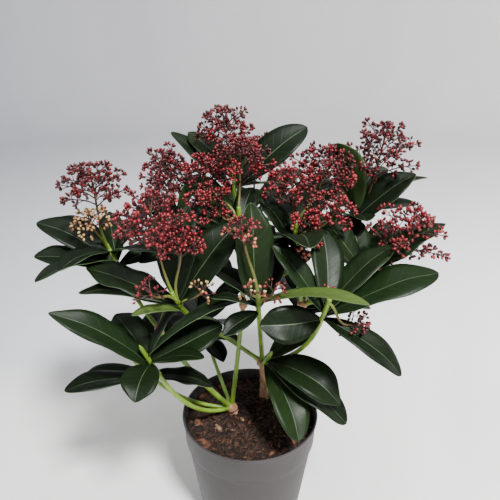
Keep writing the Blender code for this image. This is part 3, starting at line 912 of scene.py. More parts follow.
@dataclass
class Template:
    """A small shape made once with mesh operators, which many joined copies follow."""

    points: np.ndarray
    corners: np.ndarray
    starts: np.ndarray
    finish: np.ndarray
    uv: np.ndarray

    @classmethod
    def of(cls, shape: bmesh.types.BMesh) -> "Template":
        """Reads a bmesh into arrays and frees it.

        Args:
            shape: The shape, with its faces' material indexes set.

        Returns:
            The template, with (x, y) of each corner as its UV.
        """
        shape.verts.index_update()
        points = np.array([vertex.co[:] for vertex in shape.verts])
        corners = []
        starts = []
        for face in shape.faces:
            starts.append(len(corners))
            corners.extend(vertex.index for vertex in face.verts)
        finish = np.array([face.material_index for face in shape.faces])
        shape.free()
        corners = np.array(corners)
        return cls(points, corners, np.array(starts), finish, points[corners][:, :2])

    def along(self) -> "Template":
        """The same template with its UV running from 0 to 1 up its height."""
        height = self.points[self.corners][:, 2]
        height = (height - height.min()) / (height.max() - height.min())
        self.uv = np.stack([height, np.zeros(len(height))], axis=1)
        return self

    def face_heights(self) -> np.ndarray:
        """The mean height of each face."""
        sizes = np.diff(np.append(self.starts, len(self.corners)))
        return np.add.reduceat(self.points[self.corners][:, 2], self.starts) / sizes


class Batch:
    """Copies of templates, gathered as arrays and joined into one piece."""

    def __init__(self, name: str, finishes: list[Material]) -> None:
        """Starts an empty batch.

        Args:
            name: The name of the piece.
            finishes: The materials that its faces may take, in order.
        """
        self.name = name
        self.finishes = finishes
        self.points: list[np.ndarray] = []
        self.corners: list[np.ndarray] = []
        self.starts: list[np.ndarray] = []
        self.finish: list[np.ndarray] = []
        self.uv: list[np.ndarray] = []
        self.vary: list[np.ndarray] = []
        self.point_count = 0
        self.corner_count = 0

    def add(
        self, template: Template, points: np.ndarray, finish: int | np.ndarray | None = None,
        vary: float | np.ndarray = 0.5,
    ) -> None:
        """Adds copies of a template.

        Args:
            template: The template that the copies follow.
            points: The points of one copy as (n, 3), or of several as (copies, n, 3).
            finish: The material index of all faces or of each, in place of the template's own.
            vary: The number from 0 to 1 by which the colour of each copy differs.
        """
        points = points.reshape(-1, len(template.points), 3)
        copies = len(points)
        if not copies:
            return
        first_point = self.point_count + np.arange(copies) * len(template.points)
        first_corner = self.corner_count + np.arange(copies) * len(template.corners)
        self.points.append(points.reshape(-1, 3))
        self.corners.append((template.corners + first_point[:, None]).ravel())
        self.starts.append((template.starts + first_corner[:, None]).ravel())
        kinds = template.finish if finish is None else np.zeros(len(template.starts), int) + finish
        self.finish.append(np.tile(kinds, copies))
        self.vary.append(np.repeat(np.zeros(copies) + vary, len(template.points)))
        self.uv.append(np.tile(template.uv, (copies, 1)))
        self.point_count += copies * len(template.points)
        self.corner_count += copies * len(template.corners)

    def build(self) -> Piece:
        """Joins what was added into one object at the origin.

        Returns:
            The new object, shaded smooth.
        """
        mesh = bpy.data.meshes.new(self.name)
        starts = np.concatenate(self.starts)
        mesh.vertices.add(self.point_count)
        mesh.vertices.foreach_set("co", np.concatenate(self.points).ravel().astype(np.float32))
        mesh.loops.add(self.corner_count)
        mesh.loops.foreach_set("vertex_index", np.concatenate(self.corners).astype(np.int32))
        mesh.polygons.add(len(starts))
        mesh.polygons.foreach_set("loop_start", starts.astype(np.int32))
        mesh.polygons.foreach_set("material_index", np.concatenate(self.finish).astype(np.int32))
        layer = mesh.uv_layers.new(name="UVMap")
        layer.data.foreach_set("uv", np.concatenate(self.uv).ravel().astype(np.float32))
        shade = mesh.attributes.new("vary", "FLOAT", "POINT")
        shade.data.foreach_set("value", np.concatenate(self.vary).astype(np.float32))
        mesh.update(calc_edges=True)
        mesh.shade_smooth()
        return add_piece(self.name, mesh, self.finishes)


def add_piece(
    name: str, mesh: bpy.types.Mesh, finishes: list[Material]
) -> Piece:
    """Links a mesh to the scene as an object at the origin.

    Args:
        name: The piece's name.
        mesh: Its mesh, in place.
        finishes: Its materials, in the order of their indexes.

    Returns:
        The object.
    """
    piece = bpy.data.objects.new(name, mesh)
    bpy.context.scene.collection.objects.link(piece)
    for finish in finishes:
        mesh.materials.append(finish)
    return piece


def declare(piece: Piece, nodes: list[str]) -> Piece:
    """Attaches a finished piece to the frame's body and hides the nodes of the frame that it stands for.

    Args:
        piece: The finished piece.
        nodes: The nodes of the frame that it replaces.

    Returns:
        The piece.
    """
    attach(piece, BODY)
    if nodes:
        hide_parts(*nodes)
    log.info("%s: %d faces", piece.name, len(piece.data.polygons))
    return piece


@lru_cache(maxsize=None)
def tube_template(sides: int, rings: int) -> Template:
    """A closed tube of unit radius, with its rings one apart along Z.

    Args:
        sides: The number of sides.
        rings: The number of rings.

    Returns:
        The template.
    """
    shape = bmesh.new()
    bmesh.ops.create_cone(
        shape, cap_ends=True, segments=sides, radius1=1.0, radius2=1.0, depth=rings - 1.0,
    )
    bmesh.ops.translate(shape, verts=shape.verts, vec=(0.0, 0.0, (rings - 1.0) / 2))
    for ring in range(1, rings - 1):
        everything = shape.verts[:] + shape.edges[:] + shape.faces[:]
        bmesh.ops.bisect_plane(shape, geom=everything, plane_co=(0, 0, ring), plane_no=(0, 0, 1))
    return Template.of(shape).along()


def bud_template() -> Template:
    """A flower bud of unit radius: a ball drawn out a little to a blunt point along Z."""
    shape = bmesh.new()
    bmesh.ops.create_uvsphere(shape, u_segments=6, v_segments=5, radius=1.0)
    for vertex in shape.verts:
        height = vertex.co.z
        vertex.co.x *= 1.0 - 0.12 * height
        vertex.co.y *= 1.0 - 0.12 * height
        vertex.co.z = height * 1.25 + 0.25
    return Template.of(shape).along()


def swept(template: Template, line: Line, relief: np.ndarray | None = None) -> np.ndarray:
    """A tube template bent along a centre line.

    Args:
        template: A tube with as many rings as the line has points.
        line: The centre line as (point, radius) pairs.
        relief: Factors on the radius for each of the template's points.

    Returns:
        The points of the copy as (n, 3).
    """
    places = np.array([place[:] for place, _ in line])
    radii = np.array([radius for _, radius in line])
    ways = np.gradient(places, axis=0)
    ways /= np.linalg.norm(ways, axis=1)[:, None]
    side = np.array(across(Vector(ways[0]))[0][:])
    sides = []
    for way in ways:
        side = side - way * side.dot(way)
        side /= np.linalg.norm(side)
        sides.append(side)
    sides = np.array(sides)
    rises = np.cross(ways, sides)
    ring = np.clip(np.rint(template.points[:, 2]).astype(int), 0, len(line) - 1)
    radius = radii[ring] if relief is None else radii[ring] * relief
    turned = sides[ring] * template.points[:, :1] + rises[ring] * template.points[:, 1:2]
    return places[ring] + turned * radius[:, None]


def stamped(
    template: Template, roots: np.ndarray, ways: np.ndarray, radii: np.ndarray, lengths: np.ndarray
) -> np.ndarray:
    """Copies of a template, each with its Z axis turned along its own way.

    Args:
        template: The template.
        roots: The place of each copy's origin, as (copies, 3).
        ways: The unit direction of each copy.
        radii: The scale of each copy across its way.
        lengths: The scale of each copy along its way.

    Returns:
        The points as (copies, n, 3).
    """
    sides = np.cross(ways, (0.31, 0.17, 0.93))
    sides /= np.linalg.norm(sides, axis=1)[:, None]
    rises = np.cross(ways, sides)
    x, y, z = template.points.T
    return (
        roots[:, None]
        + sides[:, None] * (x[None, :] * radii[:, None])[..., None]
        + rises[:, None] * (y[None, :] * radii[:, None])[..., None]
        + ways[:, None] * (z[None, :] * lengths[:, None])[..., None]
    )


class Surface:
    """A Principled material in the making, with short calls for its nodes."""

    def __init__(self, name: str, **constants: float | tuple) -> None:
        """Starts a material.

        Args:
            name: The material's name.
            constants: Values for sockets of the shader, with underscores in place of spaces.
        """
        self.material = bpy.data.materials.new(name)
        self.material.use_nodes = True
        self.tree = self.material.node_tree
        self.shader = self.tree.nodes["Principled BSDF"]
        for socket, value in constants.items():
            self.shader.inputs[socket.replace("_", " ")].default_value = value
        self.place = self.node("ShaderNodeTexCoord").outputs["Object"]
        self.uv = self.place.node.outputs["UV"]

    def uv_parts(self) -> list[Socket]:
        """The two parts of the piece's own UV."""
        return self.node("ShaderNodeSeparateXYZ", Vector=self.uv).outputs[:2]

    def vary(self) -> Socket:
        """The number by which each copy in a joined piece differs."""
        made = self.tree.nodes.new("ShaderNodeAttribute")
        made.attribute_name = "vary"
        return made.outputs["Fac"]

    def feed(self, socket: Socket, value: object) -> None:
        """Links a socket to another one, or sets it to a value."""
        if isinstance(value, Socket):
            self.tree.links.new(value, socket)
        else:
            socket.default_value = value

    def node(self, kind: str, **inputs: object) -> bpy.types.Node:
        """A node with its inputs set or linked.

        Args:
            kind: The node's type name.
            inputs: Values or sockets for its inputs, with underscores in place of spaces.

        Returns:
            The node.
        """
        made = self.tree.nodes.new(kind)
        for name, value in inputs.items():
            self.feed(made.inputs[name.replace("_", " ")], value)
        return made

    def stretched(self, scale: tuple, source: Socket | None = None) -> Socket:
        """The coordinates stretched by a scale for each axis."""
        return self.node("ShaderNodeMapping", Vector=source or self.place, Scale=scale).outputs["Vector"]

    def noise(
        self, scale: float, detail: float = 4.0, vector: Socket | None = None
    ) -> Socket:
        """A noise of about this many grains a metre, or a unit of the given coordinates."""
        made = self.node("ShaderNodeTexNoise", Vector=vector or self.place, Scale=scale, Detail=detail)
        return made.outputs["Fac"]

    def ramp(self, factor: Socket, *stops: tuple[float, tuple]) -> Socket:
        """Colours or greys along a factor.

        Args:
            factor: The socket that the ramp reads.
            stops: Pairs of a place from 0 to 1 and a colour of three parts.

        Returns:
            The colour socket.
        """
        made = self.node("ShaderNodeValToRGB", Fac=factor)
        elements = made.color_ramp.elements
        while len(elements) < len(stops):
            elements.new(0.5)
        for element, (place, colour) in zip(elements, stops):
            element.position = place
            element.color = (*colour, 1.0)
        return made.outputs["Color"]

    def between(
        self, factor: Socket, low: float, high: float, start: float = 0.3, end: float = 0.7
    ) -> Socket:
        """A number from low to high as the factor goes from start to end."""
        made = self.node(
            "ShaderNodeMapRange", Value=factor, From_Min=start, From_Max=end, To_Min=low, To_Max=high,
        )
        return made.outputs["Result"]

    def blended(
        self, factor: Socket | float, first: object, second: object, blend: str = "MIX"
    ) -> Socket:
        """Two colours mixed by a factor.

        Args:
            factor: The share of the second.
            first: A colour socket or a colour of three parts.
            second: The same.
            blend: The way of mixing.

        Returns:
            The colour socket.
        """
        made = self.tree.nodes.new("ShaderNodeMix")
        made.data_type = "RGBA"
        made.blend_type = blend
        self.feed(made.inputs["Factor"], factor)
        for value, socket in zip((first, second), made.inputs[6:8]):
            self.feed(socket, (*value, 1.0) if isinstance(value, tuple) else value)
        return made.outputs[2]

    def maths(self, operation: str, *values: Socket | float) -> Socket:
        """A sum on sockets and numbers.

        Args:
            operation: The Math node's operation.
            values: What it works on.

        Returns:
            The result's socket.
        """
        made = self.tree.nodes.new("ShaderNodeMath")
        made.operation = operation
        for value, socket in zip(values, made.inputs):
            self.feed(socket, value)
        return made.outputs[0]

    def bump(
        self, height: Socket, strength: float, distance: float,
        after: Socket | None = None,
    ) -> Socket:
        """A normal bent by a height.

        Args:
            height: The height, from 0 to 1.
            strength: How strongly it shows.
            distance: The height's size in metres.
            after: The normal that it is added to.

        Returns:
            The normal socket.
        """
        made = self.node("ShaderNodeBump", Height=height, Strength=strength, Distance=distance)
        if after:
            self.tree.links.new(after, made.inputs["Normal"])
        return made.outputs["Normal"]

    def finished(
        self, colour: Socket, roughness: Socket | None = None,
        normal: Socket | None = None,
    ) -> Material:
        """Links the looks to the shader.

        Args:
            colour: The base colour.
            roughness: The roughness, where it varies.
            normal: The bent normal, if any.

        Returns:
            The material.
        """
        self.tree.links.new(colour, self.shader.inputs["Base Color"])
        if roughness:
            self.tree.links.new(roughness, self.shader.inputs["Roughness"])
        if normal:
            self.tree.links.new(normal, self.shader.inputs["Normal"])
        return self.material


@dataclass(frozen=True)
class MottledFinish:
    """A finish whose colour wanders between three tones, with a fine grain to the touch."""

    name: str
    dark: tuple
    colour: tuple
    light: tuple
    patch: float = 60.0
    grain: float = 900.0
    rough_low: float = 0.4
    rough_high: float = 0.6
    bump_strength: float = 0.3
    bump_distance: float = 0.2 * MM
    stretch: tuple = (1.0, 1.0, 1.0)
    specular: float = 0.3
    coat: float = 0.0

    def material(self) -> Material:
        """The finish as a material.

        Returns:
            The material.
        """
        surface = Surface(
            self.name, Specular_IOR_Level=self.specular, Coat_Weight=self.coat,
            Coat_Roughness=0.35,
        )
        place = surface.stretched(self.stretch)
        patches = surface.noise(self.patch, 5.0, place)
        grain = surface.noise(self.grain, 6.0, place)
        colour = surface.ramp(patches, (0.3, self.dark), (0.5, self.colour), (0.72, self.light))
        roughness = surface.between(grain, self.rough_low, self.rough_high)
        normal = surface.bump(grain, self.bump_strength, self.bump_distance)
        return surface.finished(colour, roughness, normal)


@dataclass(frozen=True)
class BladeFinish:
    """The face of a leathery leaf: faint side veins, soft mottling and a grey sheen."""

    name: str
    dark: tuple
    colour: tuple
    vein: tuple
    roughness: float
    coat: float
    veins: float = 9.0
    vein_slant: float = 0.16

    def material(self) -> Material:
        """The finish as a material that reads the leaf's own UV map, across and along it.

        Returns:
            The material.
        """
        surface = Surface(
            self.name, Specular_IOR_Level=0.1, Coat_Weight=self.coat, Coat_Roughness=0.3,
        )
        aside, along = surface.uv_parts()
        offside = surface.maths("ABSOLUTE", aside)
        slant = surface.maths("MULTIPLY_ADD", offside, -self.vein_slant, along)
        wave = surface.maths("COSINE", surface.maths("MULTIPLY", slant, math.tau * self.veins))
        vein = surface.between(wave, 0.0, 1.0, 0.86, 1.0)
        patches = surface.noise(55.0, 5.0)
        grain = surface.noise(1400.0, 5.0)
        half = surface.maths("MULTIPLY", patches, 0.5)
        tone = surface.maths("MULTIPLY_ADD", surface.vary(), 0.5, half)
        body = surface.ramp(tone, (0.25, self.dark), (0.72, self.colour))
        faint = surface.between(vein, 0.0, 0.28, 0.0, 1.0)
        colour = surface.blended(faint, body, self.vein)
        roughness = surface.between(grain, self.roughness - 0.06, self.roughness + 0.08)
        normal = surface.bump(vein, 0.22, 0.25 * MM)
        normal = surface.bump(grain, 0.16, 0.08 * MM, normal)
        return surface.finished(colour, roughness, normal)


@dataclass(frozen=True)
class BudFinish:
    """A closed flower bud: waxy, darker at its foot, and a little different from bud to bud."""

    name: str
    foot: tuple
    dark: tuple
    colour: tuple
    light: tuple

    def material(self) -> Material:
        """The finish as a material that reads the bud's own height and number.

        Returns:
            The material.
        """
        surface = Surface(self.name, Specular_IOR_Level=0.3, Coat_Weight=0.12, Coat_Roughness=0.25)
        height = surface.uv_parts()[0]
        body = surface.ramp(surface.vary(), (0.1, self.dark), (0.5, self.colour), (0.95, self.light))
        foot = surface.between(height, 1.0, 0.0, 0.05, 0.4)
        colour = surface.blended(foot, body, self.foot)
        grain = surface.noise(2200.0, 3.0)
        roughness = surface.between(grain, 0.34, 0.5)
        return surface.finished(colour, roughness, surface.bump(grain, 0.2, 0.06 * MM))


@dataclass(frozen=True)
class TwigFinish:
    """A young twig whose colour turns along its length."""

    name: str
    foot: tuple
    middle: tuple
    tip: tuple

    def material(self) -> Material:
        """The finish as a material that reads how far along the twig it is.

        Returns:
            The material.
        """
        surface = Surface(self.name, Specular_IOR_Level=0.45)
        along = surface.uv_parts()[0]
        mottle = surface.noise(400.0, 4.0)
        part = surface.maths("MULTIPLY_ADD", mottle, 0.4, surface.maths("SUBTRACT", along, 0.2))
        colour = surface.ramp(part, (0.1, self.foot), (0.5, self.middle), (0.9, self.tip))
        grain = surface.noise(1800.0, 4.0, surface.stretched((1.0, 1.0, 0.3)))
        roughness = surface.between(grain, 0.42, 0.6)
        return surface.finished(colour, roughness, surface.bump(grain, 0.35, 0.1 * MM))


POT_PLASTIC = MottledFinish(
    "pot_plastic", (0.023, 0.0195, 0.0205), (0.028, 0.0245, 0.0255), (0.033, 0.0295, 0.0305),
    patch=26.0, grain=1100.0, rough_low=0.46, rough_high=0.62, bump_strength=0.18,
    bump_distance=0.12 * MM, stretch=(1.0, 1.0, 2.2),
)
# Painted shade of the pot's inner wall: blotched darker and rougher than the outer plastic.
POT_INSIDE_SHADE = MottledFinish(
    "pot_inside", (0.012, 0.01, 0.01), (0.026, 0.022, 0.022), (0.042, 0.036, 0.036),
    patch=120.0, rough_low=0.6, rough_high=0.8, bump_strength=0.4,
)
PEAT = MottledFinish(
    "peat", (0.003, 0.0018, 0.0012), (0.008, 0.004, 0.0026), (0.02, 0.01, 0.006),
    patch=260.0, grain=1300.0, rough_low=0.86, rough_high=0.98, bump_strength=0.9,
    bump_distance=1.2 * MM, specular=0.25,
)
CHIP_DARK = MottledFinish(
    "bark_chip_dark", (0.01, 0.0045, 0.0026), (0.022, 0.0095, 0.005), (0.042, 0.018, 0.01),
    patch=180.0, rough_low=0.75, rough_high=0.92, bump_strength=0.7,
    bump_distance=0.4 * MM,
)
CHIP_RED = MottledFinish(
    "bark_chip_red", (0.026, 0.0085, 0.004), (0.06, 0.021, 0.01), (0.1, 0.04, 0.02),
    patch=180.0, rough_low=0.7, rough_high=0.9, bump_strength=0.7,
    bump_distance=0.4 * MM,
)
CHIP_PALE = MottledFinish(
    "bark_chip_pale", (0.06, 0.032, 0.018), (0.11, 0.064, 0.038), (0.17, 0.11, 0.07),
    patch=220.0, rough_low=0.72, rough_high=0.9, bump_strength=0.6,
    bump_distance=0.3 * MM,
)
BARK = MottledFinish(
    "stem_bark", (0.12, 0.06, 0.03), (0.27, 0.155, 0.085), (0.42, 0.28, 0.17),
    patch=160.0, grain=700.0, rough_low=0.62, rough_high=0.82, bump_strength=0.8,
    bump_distance=0.5 * MM, stretch=(1.0, 1.0, 0.6),
)
KNOT_BARK = MottledFinish(
    "knot_bark", (0.16, 0.075, 0.035), (0.28, 0.15, 0.08), (0.4, 0.25, 0.15),
    patch=260.0, rough_low=0.58, rough_high=0.8, bump_strength=0.7,
    bump_distance=0.4 * MM,
)
GREEN_BARK = MottledFinish(
    "green_shoot", (0.05, 0.1, 0.005), (0.1, 0.185, 0.007), (0.17, 0.27, 0.018),
    patch=110.0, grain=800.0, rough_low=0.4, rough_high=0.56, bump_strength=0.35,
    bump_distance=0.2 * MM, stretch=(1.0, 1.0, 0.45), specular=0.5, coat=0.12,
)
LEAF_UPPERS = {
    DEEP: BladeFinish(
        "leaf_deep", (0.0016, 0.0038, 0.0012), (0.0036, 0.0078, 0.0025), (0.0075, 0.0145, 0.005),
        0.44, 0.015,
    ),
    MIDDLE: BladeFinish(
        "leaf_middle", (0.0024, 0.0058, 0.0015), (0.005, 0.012, 0.0032), (0.01, 0.02, 0.006),
        0.44, 0.015,
    ),
    FRESH: BladeFinish(
        "leaf_fresh", (0.0034, 0.0085, 0.0018), (0.0075, 0.0175, 0.004), (0.0135, 0.027, 0.0075),
        0.44, 0.015,
    ),
    PALE: BladeFinish(
        "leaf_pale", (0.03, 0.05, 0.01), (0.055, 0.085, 0.018), (0.08, 0.115, 0.03), 0.55, 0.03,
    ),
}
LEAF_UNDER = BladeFinish(
    "leaf_underside", (0.022, 0.045, 0.014), (0.042, 0.08, 0.024), (0.06, 0.1, 0.034), 0.6, 0.0,
)
MIDRIB = MottledFinish(
    "leaf_midrib", (0.014, 0.024, 0.009), (0.024, 0.04, 0.015), (0.042, 0.068, 0.026),
    patch=90.0, rough_low=0.45, rough_high=0.6, bump_strength=0.2, specular=0.5,
)
MARGIN = MottledFinish(
    "leaf_margin", (0.028, 0.052, 0.017), (0.05, 0.088, 0.028), (0.08, 0.13, 0.045),
    patch=90.0, rough_low=0.45, rough_high=0.6, bump_strength=0.2, specular=0.5,
)
BUD_FINISHES = {
    CRIMSON: BudFinish(
        "bud_crimson", (0.028, 0.002, 0.002), (0.045, 0.001, 0.002), (0.095, 0.002, 0.005),
        (0.19, 0.01, 0.014),
    ),
    MAROON: BudFinish(
        "bud_maroon", (0.016, 0.002, 0.002), (0.024, 0.001, 0.002), (0.05, 0.0015, 0.003),
        (0.105, 0.005, 0.008),
    ),
    SALMON: BudFinish(
        "bud_salmon", (0.12, 0.022, 0.014), (0.14, 0.018, 0.016), (0.25, 0.06, 0.035),
        (0.36, 0.15, 0.08),
    ),
    CREAM: BudFinish(
        "bud_cream", (0.12, 0.06, 0.015), (0.17, 0.07, 0.03), (0.26, 0.16, 0.06), (0.36, 0.26, 0.11),
    ),
}
HEAD_STALK = TwigFinish("head_stalk", (0.085, 0.13, 0.012), (0.07, 0.05, 0.012), (0.035, 0.008, 0.006))
BRANCHLET = TwigFinish("branchlet", (0.04, 0.012, 0.006), (0.022, 0.004, 0.004), (0.04, 0.005, 0.005))


def smooth_step(value: np.ndarray, start: float, end: float) -> np.ndarray:
    """A soft step from 0 to 1 as the value goes from start to end."""
    part = np.clip((value - start) / (end - start), 0.0, 1.0)
    return part * part * (3 - 2 * part)


@dataclass
class NurseryPot:
    """The round pot in moulded plastic: tapered body, deep band, rolled lip and drain holes."""

    height: float = 125.0 * MM
    rim_radius: float = 65.0 * MM
    band_height: float = 28.0 * MM
    band_step: float = 1.8 * MM
    band_taper: float = 2.4 * MM
    foot_radius: float = 48.5 * MM
    wall: float = 1.6 * MM
    floor: float = 2.2 * MM
    lip: float = 0.8 * MM
    foot_bevel: float = 2.0 * MM
    steps: int = 144
    drain_holes: int = 6
    drain_ring_radius: float = 31.0 * MM
    drain_hole_radius: float = 4.5 * MM
    drain_sides: int = 28

    def inner_radius(self, height: float) -> float:
        """The radius of the inner wall at a height.

        Args:
            height: The height above the underside.

        Returns:
            The radius.
        """
        band_foot = self.height - self.band_height
        body_top = self.rim_radius - self.band_taper - self.band_step - self.wall
        body_foot = self.foot_radius - self.wall
        if height <= band_foot:
            return body_foot + (body_top - body_foot) * height / band_foot
        rise = (height - band_foot) / self.band_height
        return body_top + (self.rim_radius - self.wall - body_top) * rise

    def profile(self) -> list[tuple[float, float]]:
        """The outline of the wall as (radius, height), from the underside out, up and in again."""
        band_foot = self.height - self.band_height
        band_radius = self.rim_radius - self.band_taper
        lip = self.lip
        return [
            (0.0, 0.0),
            (self.foot_radius - self.foot_bevel, 0.0),
            (self.foot_radius - 0.3 * self.foot_bevel, 0.3 * self.foot_bevel),
            (self.foot_radius, self.foot_bevel),
            (band_radius - self.band_step - 0.5 * MM, band_foot - 6 * MM),
            (band_radius - self.band_step - 0.1 * MM, band_foot - 0.6 * MM),
            (band_radius - self.band_step + 0.4 * MM, band_foot),
            (band_radius - 0.3 * MM, band_foot + 0.7 * MM),
            (band_radius + 0.1 * MM, band_foot + self.band_step),
            (self.rim_radius - 1.5 * lip, self.height - 6 * lip),
            (self.rim_radius - 1.1 * lip, self.height - 4 * lip),
            (self.rim_radius - 0.1 * lip, self.height - 2.6 * lip),
            (self.rim_radius, self.height - 1.6 * lip),
            (self.rim_radius - 0.15 * lip, self.height - 0.6 * lip),
            (self.rim_radius - 0.7 * lip, self.height),
            (self.rim_radius - 1.4 * lip, self.height - 0.1 * lip),
            (self.rim_radius - self.wall - 0.3 * lip, self.height - lip),
            (self.inner_radius(self.height - 5 * lip), self.height - 5 * lip),
            (self.inner_radius(band_foot), band_foot),
            (self.inner_radius(2 * self.floor), 2 * self.floor),
            (self.inner_radius(self.floor) - self.foot_bevel, self.floor),
            (0.0, self.floor),
        ]

    def build(self) -> Piece:
        """Spins the wall and cuts the drain holes.

        Returns:
            The pot.
        """
        shape = bmesh.new()
        spin_profile(shape, self.profile(), self.steps)
        for face in shape.faces:
            middle = face.calc_center_median()
            inward = middle.x * face.normal.x + middle.y * face.normal.y < 0.0
            # Inner wall faces below the lip take the second finish, painted shade of the pot's inside.
            face.material_index = int(inward and middle.z < self.height - 1.5 * self.lip)
        finishes = [POT_PLASTIC.material(), POT_INSIDE_SHADE.material()]
        pot = add_piece("nursery_pot", mesh_of(shape, "nursery_pot"), finishes)
        holes = bmesh.new()
        for index in range(self.drain_holes):
            turn = Matrix.Rotation(math.tau * index / self.drain_holes, 4, "Z")
            place = turn @ Matrix.Translation((self.drain_ring_radius, 0.0, 0.0))
            bmesh.ops.create_cone(
                holes, cap_ends=True, segments=self.drain_sides, depth=4 * self.floor,
                radius1=self.drain_hole_radius, radius2=self.drain_hole_radius, matrix=place,
            )
        cutter = add_piece("drain_holes", mesh_of(holes, "drain_holes"), [])
        cut = pot.modifiers.new("Drain holes", "BOOLEAN")
        cut.operation = "DIFFERENCE"
        cut.object = cutter
        graph = bpy.context.evaluated_depsgraph_get()
        finished = bpy.data.meshes.new_from_object(pot.evaluated_get(graph))
        pot.modifiers.clear()
        pot.data = finished
        bpy.data.objects.remove(cutter)
        finished.shade_smooth()
        finished.set_sharp_from_angle(angle=math.radians(50))
        return declare(pot, ["pot"])


def spin_profile(shape: bmesh.types.BMesh, profile: list[tuple[float, float]], steps: int) -> None:
    """Spins a profile about Z into a skin, which is closed where its ends lie on the axis.

    Args:
        shape: The bmesh that takes the skin.
        profile: The outline as (radius, height).
        steps: The number of steps round the axis.
    """
    points = [shape.verts.new((radius, 0.0, height)) for radius, height in profile]
    edges = [shape.edges.new(pair) for pair in zip(points, points[1:])]
    bmesh.ops.spin(
        shape, geom=points + edges, cent=(0, 0, 0), axis=(0, 0, 1),
        angle=math.tau, steps=steps, use_merge=True,
    )
    bmesh.ops.remove_doubles(shape, verts=shape.verts, dist=0.02 * MM)
    bmesh.ops.recalc_face_normals(shape, faces=shape.faces)


def mesh_of(shape: bmesh.types.BMesh, name: str) -> bpy.types.Mesh:
    """A mesh with what a bmesh holds, shaded smooth. The bmesh is freed."""
    mesh = bpy.data.meshes.new(name)
    shape.to_mesh(mesh)
    shape.free()
    mesh.shade_smooth()
    return mesh


